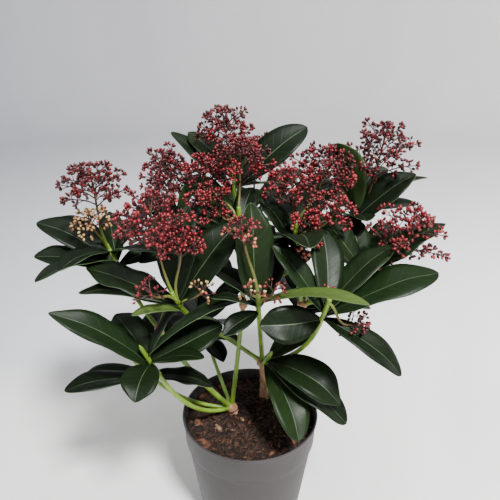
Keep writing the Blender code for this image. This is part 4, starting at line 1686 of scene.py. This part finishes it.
@dataclass
class PottingMix:
    """The dark mix in the pot: a rough crumbly top, with bark chips and fibres strewn on it."""

    pot: NurseryPot
    top: float = RULE.mix_top
    edge_drop: float = 2.0 * MM
    flat_radius: float = 42.0 * MM
    gap: float = 0.3 * MM
    ring_step: float = 1.5 * MM
    steps: int = 168
    lump: float = 2.0 * MM
    chips: int = 1300
    fibres: int = 320
    seed: int = 77

    def surface_height(self, x: float, y: float) -> float:
        """The height of the rough top.

        Args:
            x: The place to the right of the middle.
            y: The place behind the middle.

        Returns:
            The height above the pot's underside.
        """
        radius = math.hypot(x, y)
        outer_width = self.pot.rim_radius - self.flat_radius
        drop = self.edge_drop * max(0.0, (radius - self.flat_radius) / outer_width)
        coarse = noise.noise(Vector((x, y, 0.31)) * 70)
        fine = noise.noise(Vector((x, y, 0.77)) * 260)
        return self.top - drop + self.lump * (coarse + 0.5 * fine - 0.25)

    def build_bed(self) -> Piece:
        """The body of the mix with its rough top.

        Returns:
            The bed.
        """
        pot = self.pot
        edge = self.top - self.edge_drop
        edge_radius = pot.inner_radius(edge) - 2 * self.gap
        rings = int(edge_radius / self.ring_step)
        floor = pot.floor + self.gap
        profile = [(edge_radius * index / rings, self.top) for index in range(rings + 1)]
        profile.append((pot.inner_radius(edge - 3 * MM) - 2 * self.gap, edge - 3 * MM))
        band_foot = pot.height - pot.band_height
        profile.append((pot.inner_radius(band_foot) - self.gap, band_foot))
        profile.append((pot.inner_radius(2 * pot.floor) - self.gap, 2 * pot.floor + self.gap))
        profile.append((pot.inner_radius(floor) - pot.foot_bevel - 2 * self.gap, floor))
        profile.append((0.0, floor))
        shape = bmesh.new()
        spin_profile(shape, profile, self.steps)
        for vertex in shape.verts:
            if vertex.co.z > self.top - 0.1 * MM:
                vertex.co.z = self.surface_height(vertex.co.x, vertex.co.y)
        return add_piece("potting_mix_bed", mesh_of(shape, "potting_mix_bed"), [PEAT.material()])

    def chip_template(self, seed: int) -> Template:
        """A splinter of bark of about unit size.

        Args:
            seed: The seed of its chips and dents.

        Returns:
            The template.
        """
        rng = random.Random(seed)
        shape = bmesh.new()
        bmesh.ops.create_cube(shape, size=1.0)
        bmesh.ops.subdivide_edges(shape, edges=shape.edges, cuts=1, use_grid_fill=True)
        for vertex in shape.verts:
            taper = 1.0 - 0.35 * abs(2 * vertex.co.x) ** 2
            vertex.co.x *= rng.uniform(0.85, 1.2)
            vertex.co.y *= taper * rng.uniform(0.6, 1.2)
            vertex.co.z *= taper * rng.uniform(0.5, 1.2)
        return Template.of(shape)

    def spot(self, rng: random.Random, margin: float) -> tuple[float, float]:
        """A chance place on the top, with a margin from the pot's wall."""
        radius = (self.pot.inner_radius(self.top) - margin) * math.sqrt(rng.random())
        turn = rng.uniform(0, math.tau)
        return radius * math.cos(turn), radius * math.sin(turn)

    def strew(self, batch: Batch, rng: random.Random) -> None:
        """Strews chips over the top, most of them small and dark.

        Args:
            batch: The piece that takes them.
            rng: The seeded source of chance.
        """
        templates = [self.chip_template(seed) for seed in range(6)]
        for index in range(self.chips):
            x, y = self.spot(rng, 3 * MM)
            size = rng.uniform(1.2, 3.4) if rng.random() < 0.76 else rng.uniform(3.4, 9.0)
            width = size * rng.uniform(0.22, 0.6)
            thick = size * rng.uniform(0.1, 0.3)
            tilts = [Matrix.Rotation(rng.gauss(0, 0.35), 3, axis) for axis in "XY"]
            turned = Matrix.Rotation(rng.uniform(0, math.tau), 3, "Z") @ (tilts[0] @ tilts[1])
            frame_of_chip = np.array(turned) * (np.array([size, width, thick]) * MM)
            place = np.array([x, y, self.surface_height(x, y) + thick * 0.3 * MM])
            template = templates[index % len(templates)]
            kind = rng.choices((0, 1, 2), (0.62, 0.34, 0.04))[0]
            batch.add(template, template.points @ frame_of_chip.T + place, kind, rng.random())

    def lay_fibres(self, batch: Batch, rng: random.Random) -> None:
        """Lays thin bent fibres over the top.

        Args:
            batch: The piece that takes them.
            rng: The seeded source of chance.
        """
        rings = 6
        template = tube_template(3, rings)
        for _ in range(self.fibres):
            x, y = self.spot(rng, 8 * MM)
            heading = rng.uniform(0, math.tau)
            step = rng.uniform(0.7, 2.6) * MM
            bow = rng.uniform(-0.35, 0.35)
            line = []
            for ring in range(rings):
                height = self.surface_height(x, y) + rng.uniform(0.3, 1.1) * MM
                line.append((Vector((x, y, height)), 0.16 * MM))
                x += step * math.cos(heading)
                y += step * math.sin(heading)
                heading += bow
            batch.add(template, swept(template, line), rng.choices((1, 2), (0.7, 0.3))[0])

    def build(self) -> list[Piece]:
        """Builds the bed and what lies on it.

        Returns:
            The pieces.
        """
        rng = random.Random(self.seed)
        bed = self.build_bed()
        litter = Batch("bark_chips", [CHIP_DARK.material(), CHIP_RED.material(), CHIP_PALE.material()])
        self.strew(litter, rng)
        self.lay_fibres(litter, rng)
        return [
            declare(bed, ["potting_mix"]),
            declare(litter.build(), ["potting_mix"]),
        ]


@dataclass
class Limbs:
    """The brown main stems and the green boughs, with knots, leaf scars and fine relief."""

    plan: PlantPlan
    sides: int = 14
    ring_step: float = 1.1 * MM
    roughness: float = 0.05
    scar_spacing: float = 14.0 * MM
    scar_swell: float = 0.09
    scar_width: float = 0.9 * MM
    knot_roughness: float = 0.16

    def swollen(self, grown: GrownLimb) -> tuple[Line, np.ndarray]:
        """A limb's line from inside its parent's knot to the end of its own knot.

        Args:
            grown: The limb in its place.

        Returns:
            The line, and how much each of its points belongs to a knot or scar, from 0 to 1.
        """
        limb = grown.limb
        points = [(place, radius) for place, radius in grown.line]
        foot = points[0][0]
        if limb.parent:
            origin = mm(self.plan.limbs[limb.parent].limb.tip)
            inner = [(origin.lerp(foot, part), points[0][1]) for part in (0.15, 0.4, 0.7)]
        else:
            inner = [
                (foot - UP * depth * MM, points[0][1] * (1.2 + 0.12 * depth)) for depth in (6.0, 4.0, 2.0)
            ]
        line = inner + points
        if limb.knot:
            knot = limb.knot * MM
            tip = points[-1][0]
            line = [pair for pair in line if (pair[0] - tip).length > 0.95 * knot]
            for along in (-0.8, -0.6, -0.4, -0.2, 0.0, 0.2, 0.4, 0.6, 0.78, 0.9, 0.98):
                wide = math.sqrt(max(1.0 - (max(along, -0.8) / 1.02) ** 2, 0.01))
                line.append((tip + grown.arrival * (along * knot), knot * wide))
        return self.scarred(line, limb)

    def scarred(self, line: Line, limb: Limb) -> tuple[Line, np.ndarray]:
        """Swells a line at its leaf scars, and says where it is woody.

        Args:
            line: The centre line as (point, radius) pairs.
            limb: The limb's entry in the table.

        Returns:
            The swollen line, and the woodiness of each point from 0 to 1.
        """
        run = 0.0
        swelled = []
        woody = []
        tip = mm(limb.tip)
        total = sum((b[0] - a[0]).length for a, b in zip(line, line[1:]))
        for index, (place, radius) in enumerate(line):
            if index:
                run += (place - line[index - 1][0]).length
            phase = (run - total * 0.5) % self.scar_spacing
            offset = min(phase, self.scar_spacing - phase)
            scar = math.exp(-((offset / self.scar_width) ** 2))
            from_tip = (place - tip).length
            knotty = 0.0
            if limb.knot:
                knotty = math.exp(-((from_tip / (limb.knot * 1.5 * MM)) ** 2))
            at_foot = math.exp(-((run / (5.0 * MM)) ** 2)) if limb.parent else 0.0
            swelled.append((place, radius * (1 + self.scar_swell * scar + 0.22 * at_foot)))
            woody.append(max(0.75 * scar, knotty, at_foot))
        return swelled, np.array(woody)

    def add_limb(self, batch: Batch, grown: GrownLimb, woody_finish: int) -> None:
        """Adds one limb to a piece.

        Args:
            batch: The piece.
            grown: The limb in its place.
            woody_finish: The material index of knots and scars.
        """
        line, woody = self.swollen(grown)
        template = tube_template(self.sides, len(line))
        x, y, z = template.points.T
        rings = np.clip(np.rint(z).astype(int), 0, len(line) - 1)
        seed = sum(grown.limb.tip) * 0.37
        relief = np.empty(len(x))
        for index, ring in enumerate(rings):
            place = Vector((x[index] * 1.3, y[index] * 1.3, ring * 0.33 + seed))
            rough = self.roughness + self.knot_roughness * woody[ring]
            relief[index] = 1.0 + rough * (noise.noise(place) + 0.6 * noise.noise(place * 3.1))
        heights = template.face_heights()
        faces = np.clip(heights, 0, len(line) - 1)
        share = np.interp(faces, np.arange(len(line)), woody)
        mottle = np.array([noise.noise(Vector((height * 0.9, seed, index * 0.41)))
                           for index, height in enumerate(heights)])
        kind = np.where(share + 0.35 * mottle > 0.55, woody_finish, 0)
        batch.add(template, swept(template, line, relief), kind)

    def build(self) -> list[Piece]:
        """Builds the stems and the boughs.

        Returns:
            The pieces.
        """
        knot_bark = KNOT_BARK.material()
        stems = Batch("main_stems", [BARK.material(), knot_bark])
        boughs = Batch("green_boughs", [GREEN_BARK.material(), knot_bark])
        for grown in self.plan.limbs.values():
            self.add_limb(boughs if grown.limb.parent else stems, grown, 1)
        return [
            declare(stems.build(), [limb.name for limb in STEMS]),
            declare(boughs.build(), [limb.name for limb in BOUGHS]),
        ]


@dataclass
class Foliage:
    """The leaves of every whorl, each bent in its own way along the chord that the plan gives."""

    plan: PlantPlan
    columns: tuple = (-1.0, -0.7, -0.36, -0.022, 0.022, 0.36, 0.7, 1.0)
    rows: int = 20
    crowding: float = 1.35
    thickness: float = 0.42 * MM
    stalk_thickness: float = 1.5 * MM
    rib: float = 0.55 * MM
    groove: float = 0.22 * MM
    tip_width: float = 0.5 * MM
    broader: float = 1.1
    seed: int = 401
    template: Template = field(init=False)

    def __post_init__(self) -> None:
        """Makes the flat leaf that every leaf follows."""
        self.template = self.flat_leaf()

    def flat_leaf(self) -> Template:
        """A closed flat leaf: x from -1 to 1 across, y from 0 to 1 along, z 0 above and 1 below.

        Returns:
            The template, with the upper face, underside, midrib and margin as four finishes.
        """
        spans = len(self.columns) - 1
        shape = bmesh.new()
        bmesh.ops.create_grid(shape, x_segments=spans, y_segments=self.rows, size=1.0)
        for vertex in shape.verts:
            column = round((vertex.co.x + 1) / 2 * spans)
            row = (vertex.co.y + 1) / 2
            vertex.co = (self.columns[column], 1 - (1 - row) ** self.crowding, 0.0)
        bmesh.ops.recalc_face_normals(shape, faces=shape.faces)
        if shape.faces[:][0].normal.z < 0:
            bmesh.ops.reverse_faces(shape, faces=shape.faces)
        bmesh.ops.solidify(shape, geom=shape.faces[:], thickness=1.0)
        levels = [vertex.co.z for vertex in shape.verts]
        low, high = min(levels), max(levels)
        shape.normal_update()
        for face in shape.faces:
            middle = face.calc_center_median()
            if face.normal.z < -0.5:
                face.material_index = 1
            elif face.normal.z < 0.5:
                face.material_index = 3
            elif abs(middle.x) < self.columns[4]:
                face.material_index = 2
        for vertex in shape.verts:
            vertex.co.z = (high - vertex.co.z) / (high - low)
        return Template.of(shape)

    def bent(self, root: Vector, leaf: Leaf, rng: random.Random) -> np.ndarray:
        """The points of one leaf in its place.

        Args:
            root: Where it leaves its stem.
            leaf: Its direction and sizes.
            rng: The seeded source of its own bends.

        Returns:
            The points as (n, 3).
        """
        x, y, z = self.template.points.T
        chord = pointing(leaf.heading, leaf.lift)
        side, rise = across(chord)
        roll = Quaternion(chord, math.radians(leaf.roll))
        side.rotate(roll)
        rise.rotate(roll)
        chord, side, rise = (np.array(vector[:]) for vector in (chord, side, rise))
        length = leaf.length * MM
        crown = math.radians(leaf.arch) / 8 * length
        curl = rng.uniform(0.0, 0.07) * length
        sway = rng.uniform(-0.04, 0.04) * length
        tip_part = smooth_step(y, 0.6, 1.0)
        middle = (
            np.array(root[:])
            + chord * (length * y)[:, None]
            + rise * (4 * crown * y * (1 - y) - curl * tip_part ** 2)[:, None]
            + side * (sway * np.sin(math.pi * y))[:, None]
        )
        twist = math.radians(rng.uniform(-16, 16)) * (y - 0.3)
        out = side * np.cos(twist)[:, None] + rise * np.sin(twist)[:, None]
        slope = rise * (4 * crown * (1 - 2 * y))[:, None] + chord * length
        normal = np.cross(out, slope)
        normal /= np.linalg.norm(normal, axis=1)[:, None]
        acute = 0.5 * rng.random() ** 1.6
        wide = self.broader * leaf.width * length * blade_width(np.clip(y, 0.0, 1.0))
        wide = wide * (1 - acute * smooth_step(y, 0.8, 1.0))
        least = np.where(y < 0.5, RULE.leaf_stalk_width, self.tip_width)
        half = np.maximum(wide, least) / 2
        fold = math.radians(rng.uniform(9, 19))
        waves = rng.uniform(1.2, 2.6)
        phase = rng.uniform(0, 1)
        ripple = np.sin(math.tau * (waves * y + phase + 0.2 * np.sign(x)))
        swell = rng.uniform(0.03, 0.11)
        edge = np.abs(x)
        lift = half * (
            np.sin(fold) * edge ** 1.25
            + swell * ripple * edge ** 2 * np.sin(math.pi * y) ** 0.5
            - 0.07 * edge ** 5
        )
        spine = np.exp(-((x / 0.12) ** 2))
        lift -= self.groove * spine * (1 - y) * (z < 0.5) * smooth_step(y, 0.02, 0.12)
        stalk = np.exp(-((y / 0.05) ** 2))
        thick = self.thickness + (self.stalk_thickness - self.thickness) * stalk
        thick = thick + self.rib * spine * (1 - 0.75 * y) * smooth_step(y, 0.02, 0.1)
        return (
            middle
            + out * (x * half * np.cos(fold))[:, None]
            + normal * (lift - z * thick)[:, None]
        )

    def tone_of(self, shoot: Shoot, leaf: Leaf, rng: random.Random) -> LeafTone:
        """The tone of one leaf: its own or its shoot's for most, and a neighbouring one for some."""
        if leaf.tone:
            return leaf.tone
        tones = [DEEP, MIDDLE, FRESH]
        weights = [0.12, 0.12, 0.08]
        weights[tones.index(shoot.tone)] += 0.68
        return rng.choices(tones, weights)[0]

    def build(self) -> list[Piece]:
        """Builds the leaves, joined by tone.

        Returns:
            The pieces.
        """
        under = LEAF_UNDER.material()
        midrib = MIDRIB.material()
        margin = MARGIN.material()
        rng = random.Random(self.seed)
        batches = {
            tone: Batch(f"leaves_{tone.value}", [LEAF_UPPERS[tone].material(), under, midrib, margin])
            for tone in LeafTone
        }
        for shoot in self.plan.shoots:
            for root, leaf in shoot.leaves:
                tone = self.tone_of(shoot.shoot, leaf, rng)
                batches[tone].add(self.template, self.bent(root, leaf, rng), vary=rng.random())
        masses = [shoot.name for shoot in SHOOTS]
        return [declare(batch.build(), masses) for batch in batches.values()]


@dataclass
class FlowerHeads:
    """The shoots' stems and the flower heads: branchlets in a tree, with buds at their ends."""

    plan: PlantPlan
    primary_spacing: float = 3.7 * MM
    side_spacing: float = 4.2 * MM
    bud_radius: tuple = (1.0 * MM, 1.3 * MM)
    bud_height: float = 1.15
    seed: int = 903
    stem_sides: int = 10
    twig_sides: int = 4
    twig_rings: int = 5

    def __post_init__(self) -> None:
        """Makes the joined pieces that take the copies, and notes where the leaves lie."""
        self.rng = random.Random(self.seed)
        self.fullness = 1.0
        self.stems = Batch("shoot_stems", [GREEN_BARK.material(), KNOT_BARK.material()])
        self.stalks = Batch("head_stalks", [HEAD_STALK.material()])
        self.twigs = Batch("branchlets", [BRANCHLET.material()])
        self.buds: dict[BudTone, list] = {tone: [] for tone in BudTone}
        self.blades = Space()
        self.blades.taken = [
            entry for entry in self.plan.space.taken if entry[0].endswith(" blades")
        ]

    def clear(self, start: Vector, end: Vector, swell: float) -> bool:
        """Says whether a twig and its bud keep clear of every leaf."""
        line = [(start.lerp(end, 0.3), swell), (end, swell)]
        return self.blades.is_free(tube(line), ())

    def add_stem(self, shoot: ShootPlan) -> None:
        """Adds a shoot's green stem, ringed where its leaves leave it.

        Args:
            shoot: The shoot's plan.
        """
        spans = 24
        direction = (shoot.stem[1] - shoot.stem[0]).normalized()
        points = [shoot.foot - direction * 3 * MM]
        points += bend_points(shoot.foot, direction, shoot.stem[-1], spans, 0.4)
        line = []
        for index, point in enumerate(points):
            part = index / spans
            ring = 0.05 * math.cos(index * math.pi * 0.62)
            line.append((point, RULE.shoot_stem_radius * (0.86 - 0.1 * part + ring)))
        if not shoot.shoot.heads:
            tip = shoot.stem[-1]
            for along, wide in ((1.2, 1.5), (2.4, 1.1), (3.6, 0.6), (4.4, 0.2)):
                line.append((tip + shoot.stem_direction * along * MM, wide * MM))
        template = tube_template(self.stem_sides, len(line))
        self.stems.add(template, swept(template, line))

    def add_head(self, placed: PlacedHead) -> None:
        """Adds one flower head: its axis, then primaries by the golden angle up the axis.

        Args:
            placed: The head in its place.
        """
        axis = placed.axis
        top = placed.middle + axis * placed.half_height * 0.8
        line = self.axis_line(placed, top)
        template = tube_template(6, len(line))
        self.stalks.add(template, swept(template, line))
        self.fullness = min(1.0, placed.head.width / 40)
        count = max(4, round(placed.head.width * MM / self.primary_spacing))
        phase = self.rng.uniform(0, 360)
        for index in range(count):
            part = (index + 0.5) / count
            heading = phase + GOLDEN_TURN * index + self.rng.uniform(-12, 12)
            climb = RULE.head_high_lift - RULE.head_low_lift + 10
            lift = RULE.head_low_lift - 6 + climb * part
            tip = placed.spray_tip(heading, lift, self.rng.uniform(0.8, 1.04))
            start = placed.base + axis * (placed.half_height * (0.1 + 1.3 * part))
            tone = placed.head.low_tone if part < 0.36 else placed.head.tone
            self.add_primary(start, tip, axis, tone)
        self.add_cyme(top, axis, placed.head.tone, self.share(6))

    def axis_line(self, placed: PlacedHead, top: Vector) -> Line:
        """The stalk and axis of a head as one smooth tapering line.

        Args:
            placed: The head in its place.
            top: The top of its axis.

        Returns:
            The line as (point, radius) pairs.
        """
        knots = [place for place, _ in placed.stalk]
        points = []
        for first, second in zip(knots, knots[1:]):
            points += [first.lerp(second, part / 4) for part in range(4)]
        points.append(knots[-1])
        points += [knots[-1].lerp(top, part / 3) for part in (1, 2, 3)]
        for _ in range(3):
            inner = [
                (before + place * 2 + after) / 4
                for before, place, after in zip(points, points[1:], points[2:])
            ]
            points = [points[0]] + inner + [points[-1]]
        last = len(points) - 1
        return [
            (point, (1.45 - 0.95 * index / last) * MM) for index, point in enumerate(points)
        ]

    def add_primary(self, start: Vector, tip: Vector, axis: Vector, tone: BudTone) -> None:
        """Adds a side branch with its own twigs, unless a leaf is in its way.

        Args:
            start: Where it leaves the axis.
            tip: Where it ends.
            axis: The direction of the head's axis.
            tone: The tone of its buds.
        """
        if not self.clear(start, tip, 1.6 * MM):
            tip = start.lerp(tip, 0.55)
            if not self.clear(start, tip, 1.2 * MM):
                return
        outward = (tip - start).normalized()
        leaving = (outward + axis * 0.45).normalized()
        path = bend_points(start, leaving, tip, self.twig_rings - 1, 0.5)
        self.add_twig(path, 0.62 * MM, 0.4 * MM)
        length = (tip - start).length
        twigs = max(1, int(length / self.side_spacing))
        arriving = (path[-1] - path[-2]).normalized()
        phase = self.rng.uniform(0, 360)
        for index in range(twigs):
            part = 0.28 + 0.6 * (index + self.rng.uniform(0.2, 0.8)) / twigs
            place = point_on(path, part)
            out = around(outward, math.radians(phase + GOLDEN_TURN * index))
            way = (out * 0.9 + outward * 0.55 + axis * 0.35).normalized()
            reach = self.rng.uniform(3.4, 6.2) * MM * (1.15 - 0.4 * part)
            end = place + way * reach
            if not self.clear(place, end, 1.5 * MM):
                continue
            self.add_twig([place, place.lerp(end, 0.5) + axis * 0.3 * MM, end], 0.42 * MM, 0.34 * MM)
            self.add_cyme(end, way, tone, self.share(self.rng.randint(2, 4)))
        self.add_cyme(tip, arriving, tone, self.share(self.rng.randint(4, 6)))

    def share(self, count: int) -> int:
        """How many buds a group of this many has in a head as full as this one."""
        return max(1, round(count * self.fullness))

    def add_twig(self, path: list[Vector], foot: float, tip: float) -> None:
        """Adds a thin twig.

        Args:
            path: Its points.
            foot: Its radius at its foot.
            tip: Its radius at its tip.
        """
        last = len(path) - 1
        line = [(point, foot + (tip - foot) * index / last) for index, point in enumerate(path)]
        template = tube_template(self.twig_sides, len(line))
        self.twigs.add(template, swept(template, line))

    def add_cyme(self, place: Vector, way: Vector, tone: BudTone, count: int) -> None:
        """Adds a group of buds on short stalks, one in the middle and the rest round it.

        Args:
            place: Where their stalks part.
            way: The direction of the middle one.
            tone: Their tone.
            count: How many there are.
        """
        phase = self.rng.uniform(0, math.tau)
        for index in range(count):
            if index == 0:
                direction = way
                reach = self.rng.uniform(1.2, 2.0) * MM
            else:
                turn = phase + math.tau * index / (count - 1)
                spread = self.rng.uniform(0.8, 1.25)
                direction = (way * 0.75 + around(way, turn) * spread).normalized()
                reach = self.rng.uniform(1.5, 2.5) * MM
            radius = self.rng.uniform(*self.bud_radius) * (0.75 + 0.25 * self.fullness)
            self.buds[self.bud_tone(tone)].append((place, direction, reach, radius))

    def bud_tone(self, tone: BudTone) -> BudTone:
        """The tone of one bud: its spray's for most, and a neighbouring one for some."""
        near = {
            CRIMSON: MAROON,
            MAROON: CRIMSON,
            SALMON: CRIMSON,
            CREAM: SALMON,
        }
        return near[tone] if self.rng.random() < 0.14 else tone

    def build(self) -> list[Piece]:
        """Builds the stems, stalks, branchlets and buds.

        Returns:
            The pieces.
        """
        for shoot in self.plan.shoots:
            self.add_stem(shoot)
            for placed in shoot.heads:
                self.add_head(placed)
        pedicel = tube_template(3, 2)
        bud = bud_template()
        masses = [shoot.name for shoot in SHOOTS]
        pieces = []
        rng = np.random.default_rng(self.seed)
        for tone, entries in self.buds.items():
            columns = list(zip(*entries))
            roots, ways = (np.array([place[:] for place in column]) for column in columns[:2])
            reaches, radii = (np.array(column) for column in columns[2:])
            thin = np.full(len(entries), 0.26 * MM)
            self.twigs.add(pedicel, stamped(pedicel, roots, ways, thin, reaches))
            batch = Batch(f"buds_{tone.value}", [BUD_FINISHES[tone].material()])
            ends = roots + ways * (reaches + radii * 0.8)[:, None]
            turned = stamped(bud, ends, ways, radii, radii * self.bud_height)
            batch.add(bud, turned, vary=rng.random(len(entries)))
            pieces.append(declare(batch.build(), masses))
        for batch in (self.stems, self.stalks, self.twigs):
            pieces.append(declare(batch.build(), masses))
        return pieces


@dataclass
class Studio:
    """The pale floor that turns up into a wall all round, the soft lights and the camera."""

    floor_radius: float = 2.2
    bend_radius: float = 0.7
    wall_height: float = 2.4
    steps: int = 96
    camera_place: tuple = (0.0, -0.385, 0.458)
    camera_pitch: float = 66.8
    lens: float = 36.0
    sensor: float = 36.0

    def build_bowl(self) -> Piece:
        """The floor and wall in one smooth bowl.

        Returns:
            The bowl.
        """
        profile = [(self.floor_radius * part / 6, 0.0) for part in range(7)]
        for step in range(1, 11):
            turn = math.pi / 2 * step / 10
            profile.append((
                self.floor_radius + self.bend_radius * math.sin(turn),
                self.bend_radius * (1 - math.cos(turn)),
            ))
        profile.append((self.floor_radius + self.bend_radius, self.wall_height))
        shape = bmesh.new()
        spin_profile(shape, profile, self.steps)
        for face in shape.faces:
            middle = face.calc_center_median()
            inward = Vector((-middle.x, -middle.y, 1.0))
            if face.normal.dot(inward) < 0:
                face.normal_flip()
        bowl = add_piece("backdrop", mesh_of(shape, "backdrop"), [self.paper()])
        return bowl

    def paper(self) -> Material:
        """The pale matte backdrop with painted shade: greyer behind the pot and to the left, and painted
        shade of soft upright folds.

        Returns:
            The material.
        """
        surface = Surface("backdrop_paper", Specular_IOR_Level=0.2)
        parts = surface.node("ShaderNodeSeparateXYZ", Vector=surface.place)
        # Painted shade: the paper is greyer behind the pot than near it, and greyer to the left than to
        # the right.
        depth = surface.between(parts.outputs["Y"], 0.0, 1.0, 0.16, 0.26)
        away = surface.between(parts.outputs["Y"], 0.3, 4.0, -0.28, 3.42)
        aside = surface.maths("DIVIDE", parts.outputs["X"], away)
        right = surface.between(aside, 0.0, 1.0, -0.46, 0.46)
        behind = surface.ramp(right, (0.0, (0.5, 0.51, 0.54)), (1.0, (0.9, 0.88, 0.89)))
        near = surface.ramp(right, (0.0, (0.62, 0.62, 0.61)), (1.0, (0.84, 0.81, 0.8)))
        # Painted shade of soft upright folds, multiplied into the backdrop's colour.
        steeply = surface.maths("MULTIPLY", away, 0.3)
        folds = surface.node("ShaderNodeCombineXYZ", X=aside, Y=steeply).outputs["Vector"]
        fold_shade_noise = surface.noise(7.0, 7.0, folds)
        painted_fold_shade = surface.ramp(fold_shade_noise, (0.35, (0.94, 0.94, 0.94)), (0.65, (1.0, 1.0, 1.0)))
        painted_backdrop_shade = surface.blended(depth, near, behind)
        colour = surface.blended(1.0, painted_backdrop_shade, painted_fold_shade, "MULTIPLY")
        grain = surface.noise(30.0, 3.0)
        return surface.finished(colour, surface.between(grain, 0.85, 0.95))

    def add_light(self, name: str, place: tuple, size: float, power: float) -> None:
        """Adds a soft square light that faces the plant.

        Args:
            name: Its name.
            place: Where it hangs.
            size: Its side.
            power: Its power in watts.
        """
        data = bpy.data.lights.new(name, "AREA")
        data.size = size
        data.energy = power
        light = bpy.data.objects.new(name, data)
        light.location = place
        aim = Vector((0.0, 0.0, 0.2)) - Vector(place)
        light.rotation_euler = aim.to_track_quat("-Z", "Y").to_euler()
        bpy.context.scene.collection.objects.link(light)

    def build(self) -> None:
        """Sets up the backdrop, the lights and the camera."""
        self.build_bowl()
        self.add_light("key_light", (0.5, -1.05, 1.85), 0.32, 138.0)
        self.add_light("fill_light", (-1.3, -0.5, 1.3), 0.5, 12.0)
        self.add_light("top_light", (0.0, 0.5, 2.2), 1.4, 14.0)
        world = bpy.data.worlds.new("studio")
        world.use_nodes = True
        shade = world.node_tree.nodes["Background"]
        shade.inputs["Color"].default_value = (0.95, 0.97, 1.0, 1.0)
        shade.inputs["Strength"].default_value = 0.32
        bpy.context.scene.world = world
        data = bpy.data.cameras.new("camera")
        data.lens = self.lens
        data.sensor_width = self.sensor
        camera = bpy.data.objects.new("camera", data)
        camera.location = self.camera_place
        camera.rotation_euler = (math.radians(self.camera_pitch), 0.0, 0.0)
        bpy.context.scene.collection.objects.link(camera)
        bpy.context.scene.camera = camera


def main() -> None:
    """Builds the studio and the plant, piece by piece."""
    logging.basicConfig(level=logging.INFO, format="%(name)s: %(message)s")
    Studio().build()
    pot = NurseryPot()
    pot.build()
    PottingMix(pot).build()
    plan = PlantPlan()
    for shoot in plan.shoots:
        log.info("%s: %d leaves, %d heads", shoot.shoot.name, len(shoot.leaves), len(shoot.heads))
    Limbs(plan).build()
    Foliage(plan).build()
    FlowerHeads(plan).build()


if __name__ == "__main__":
    main()
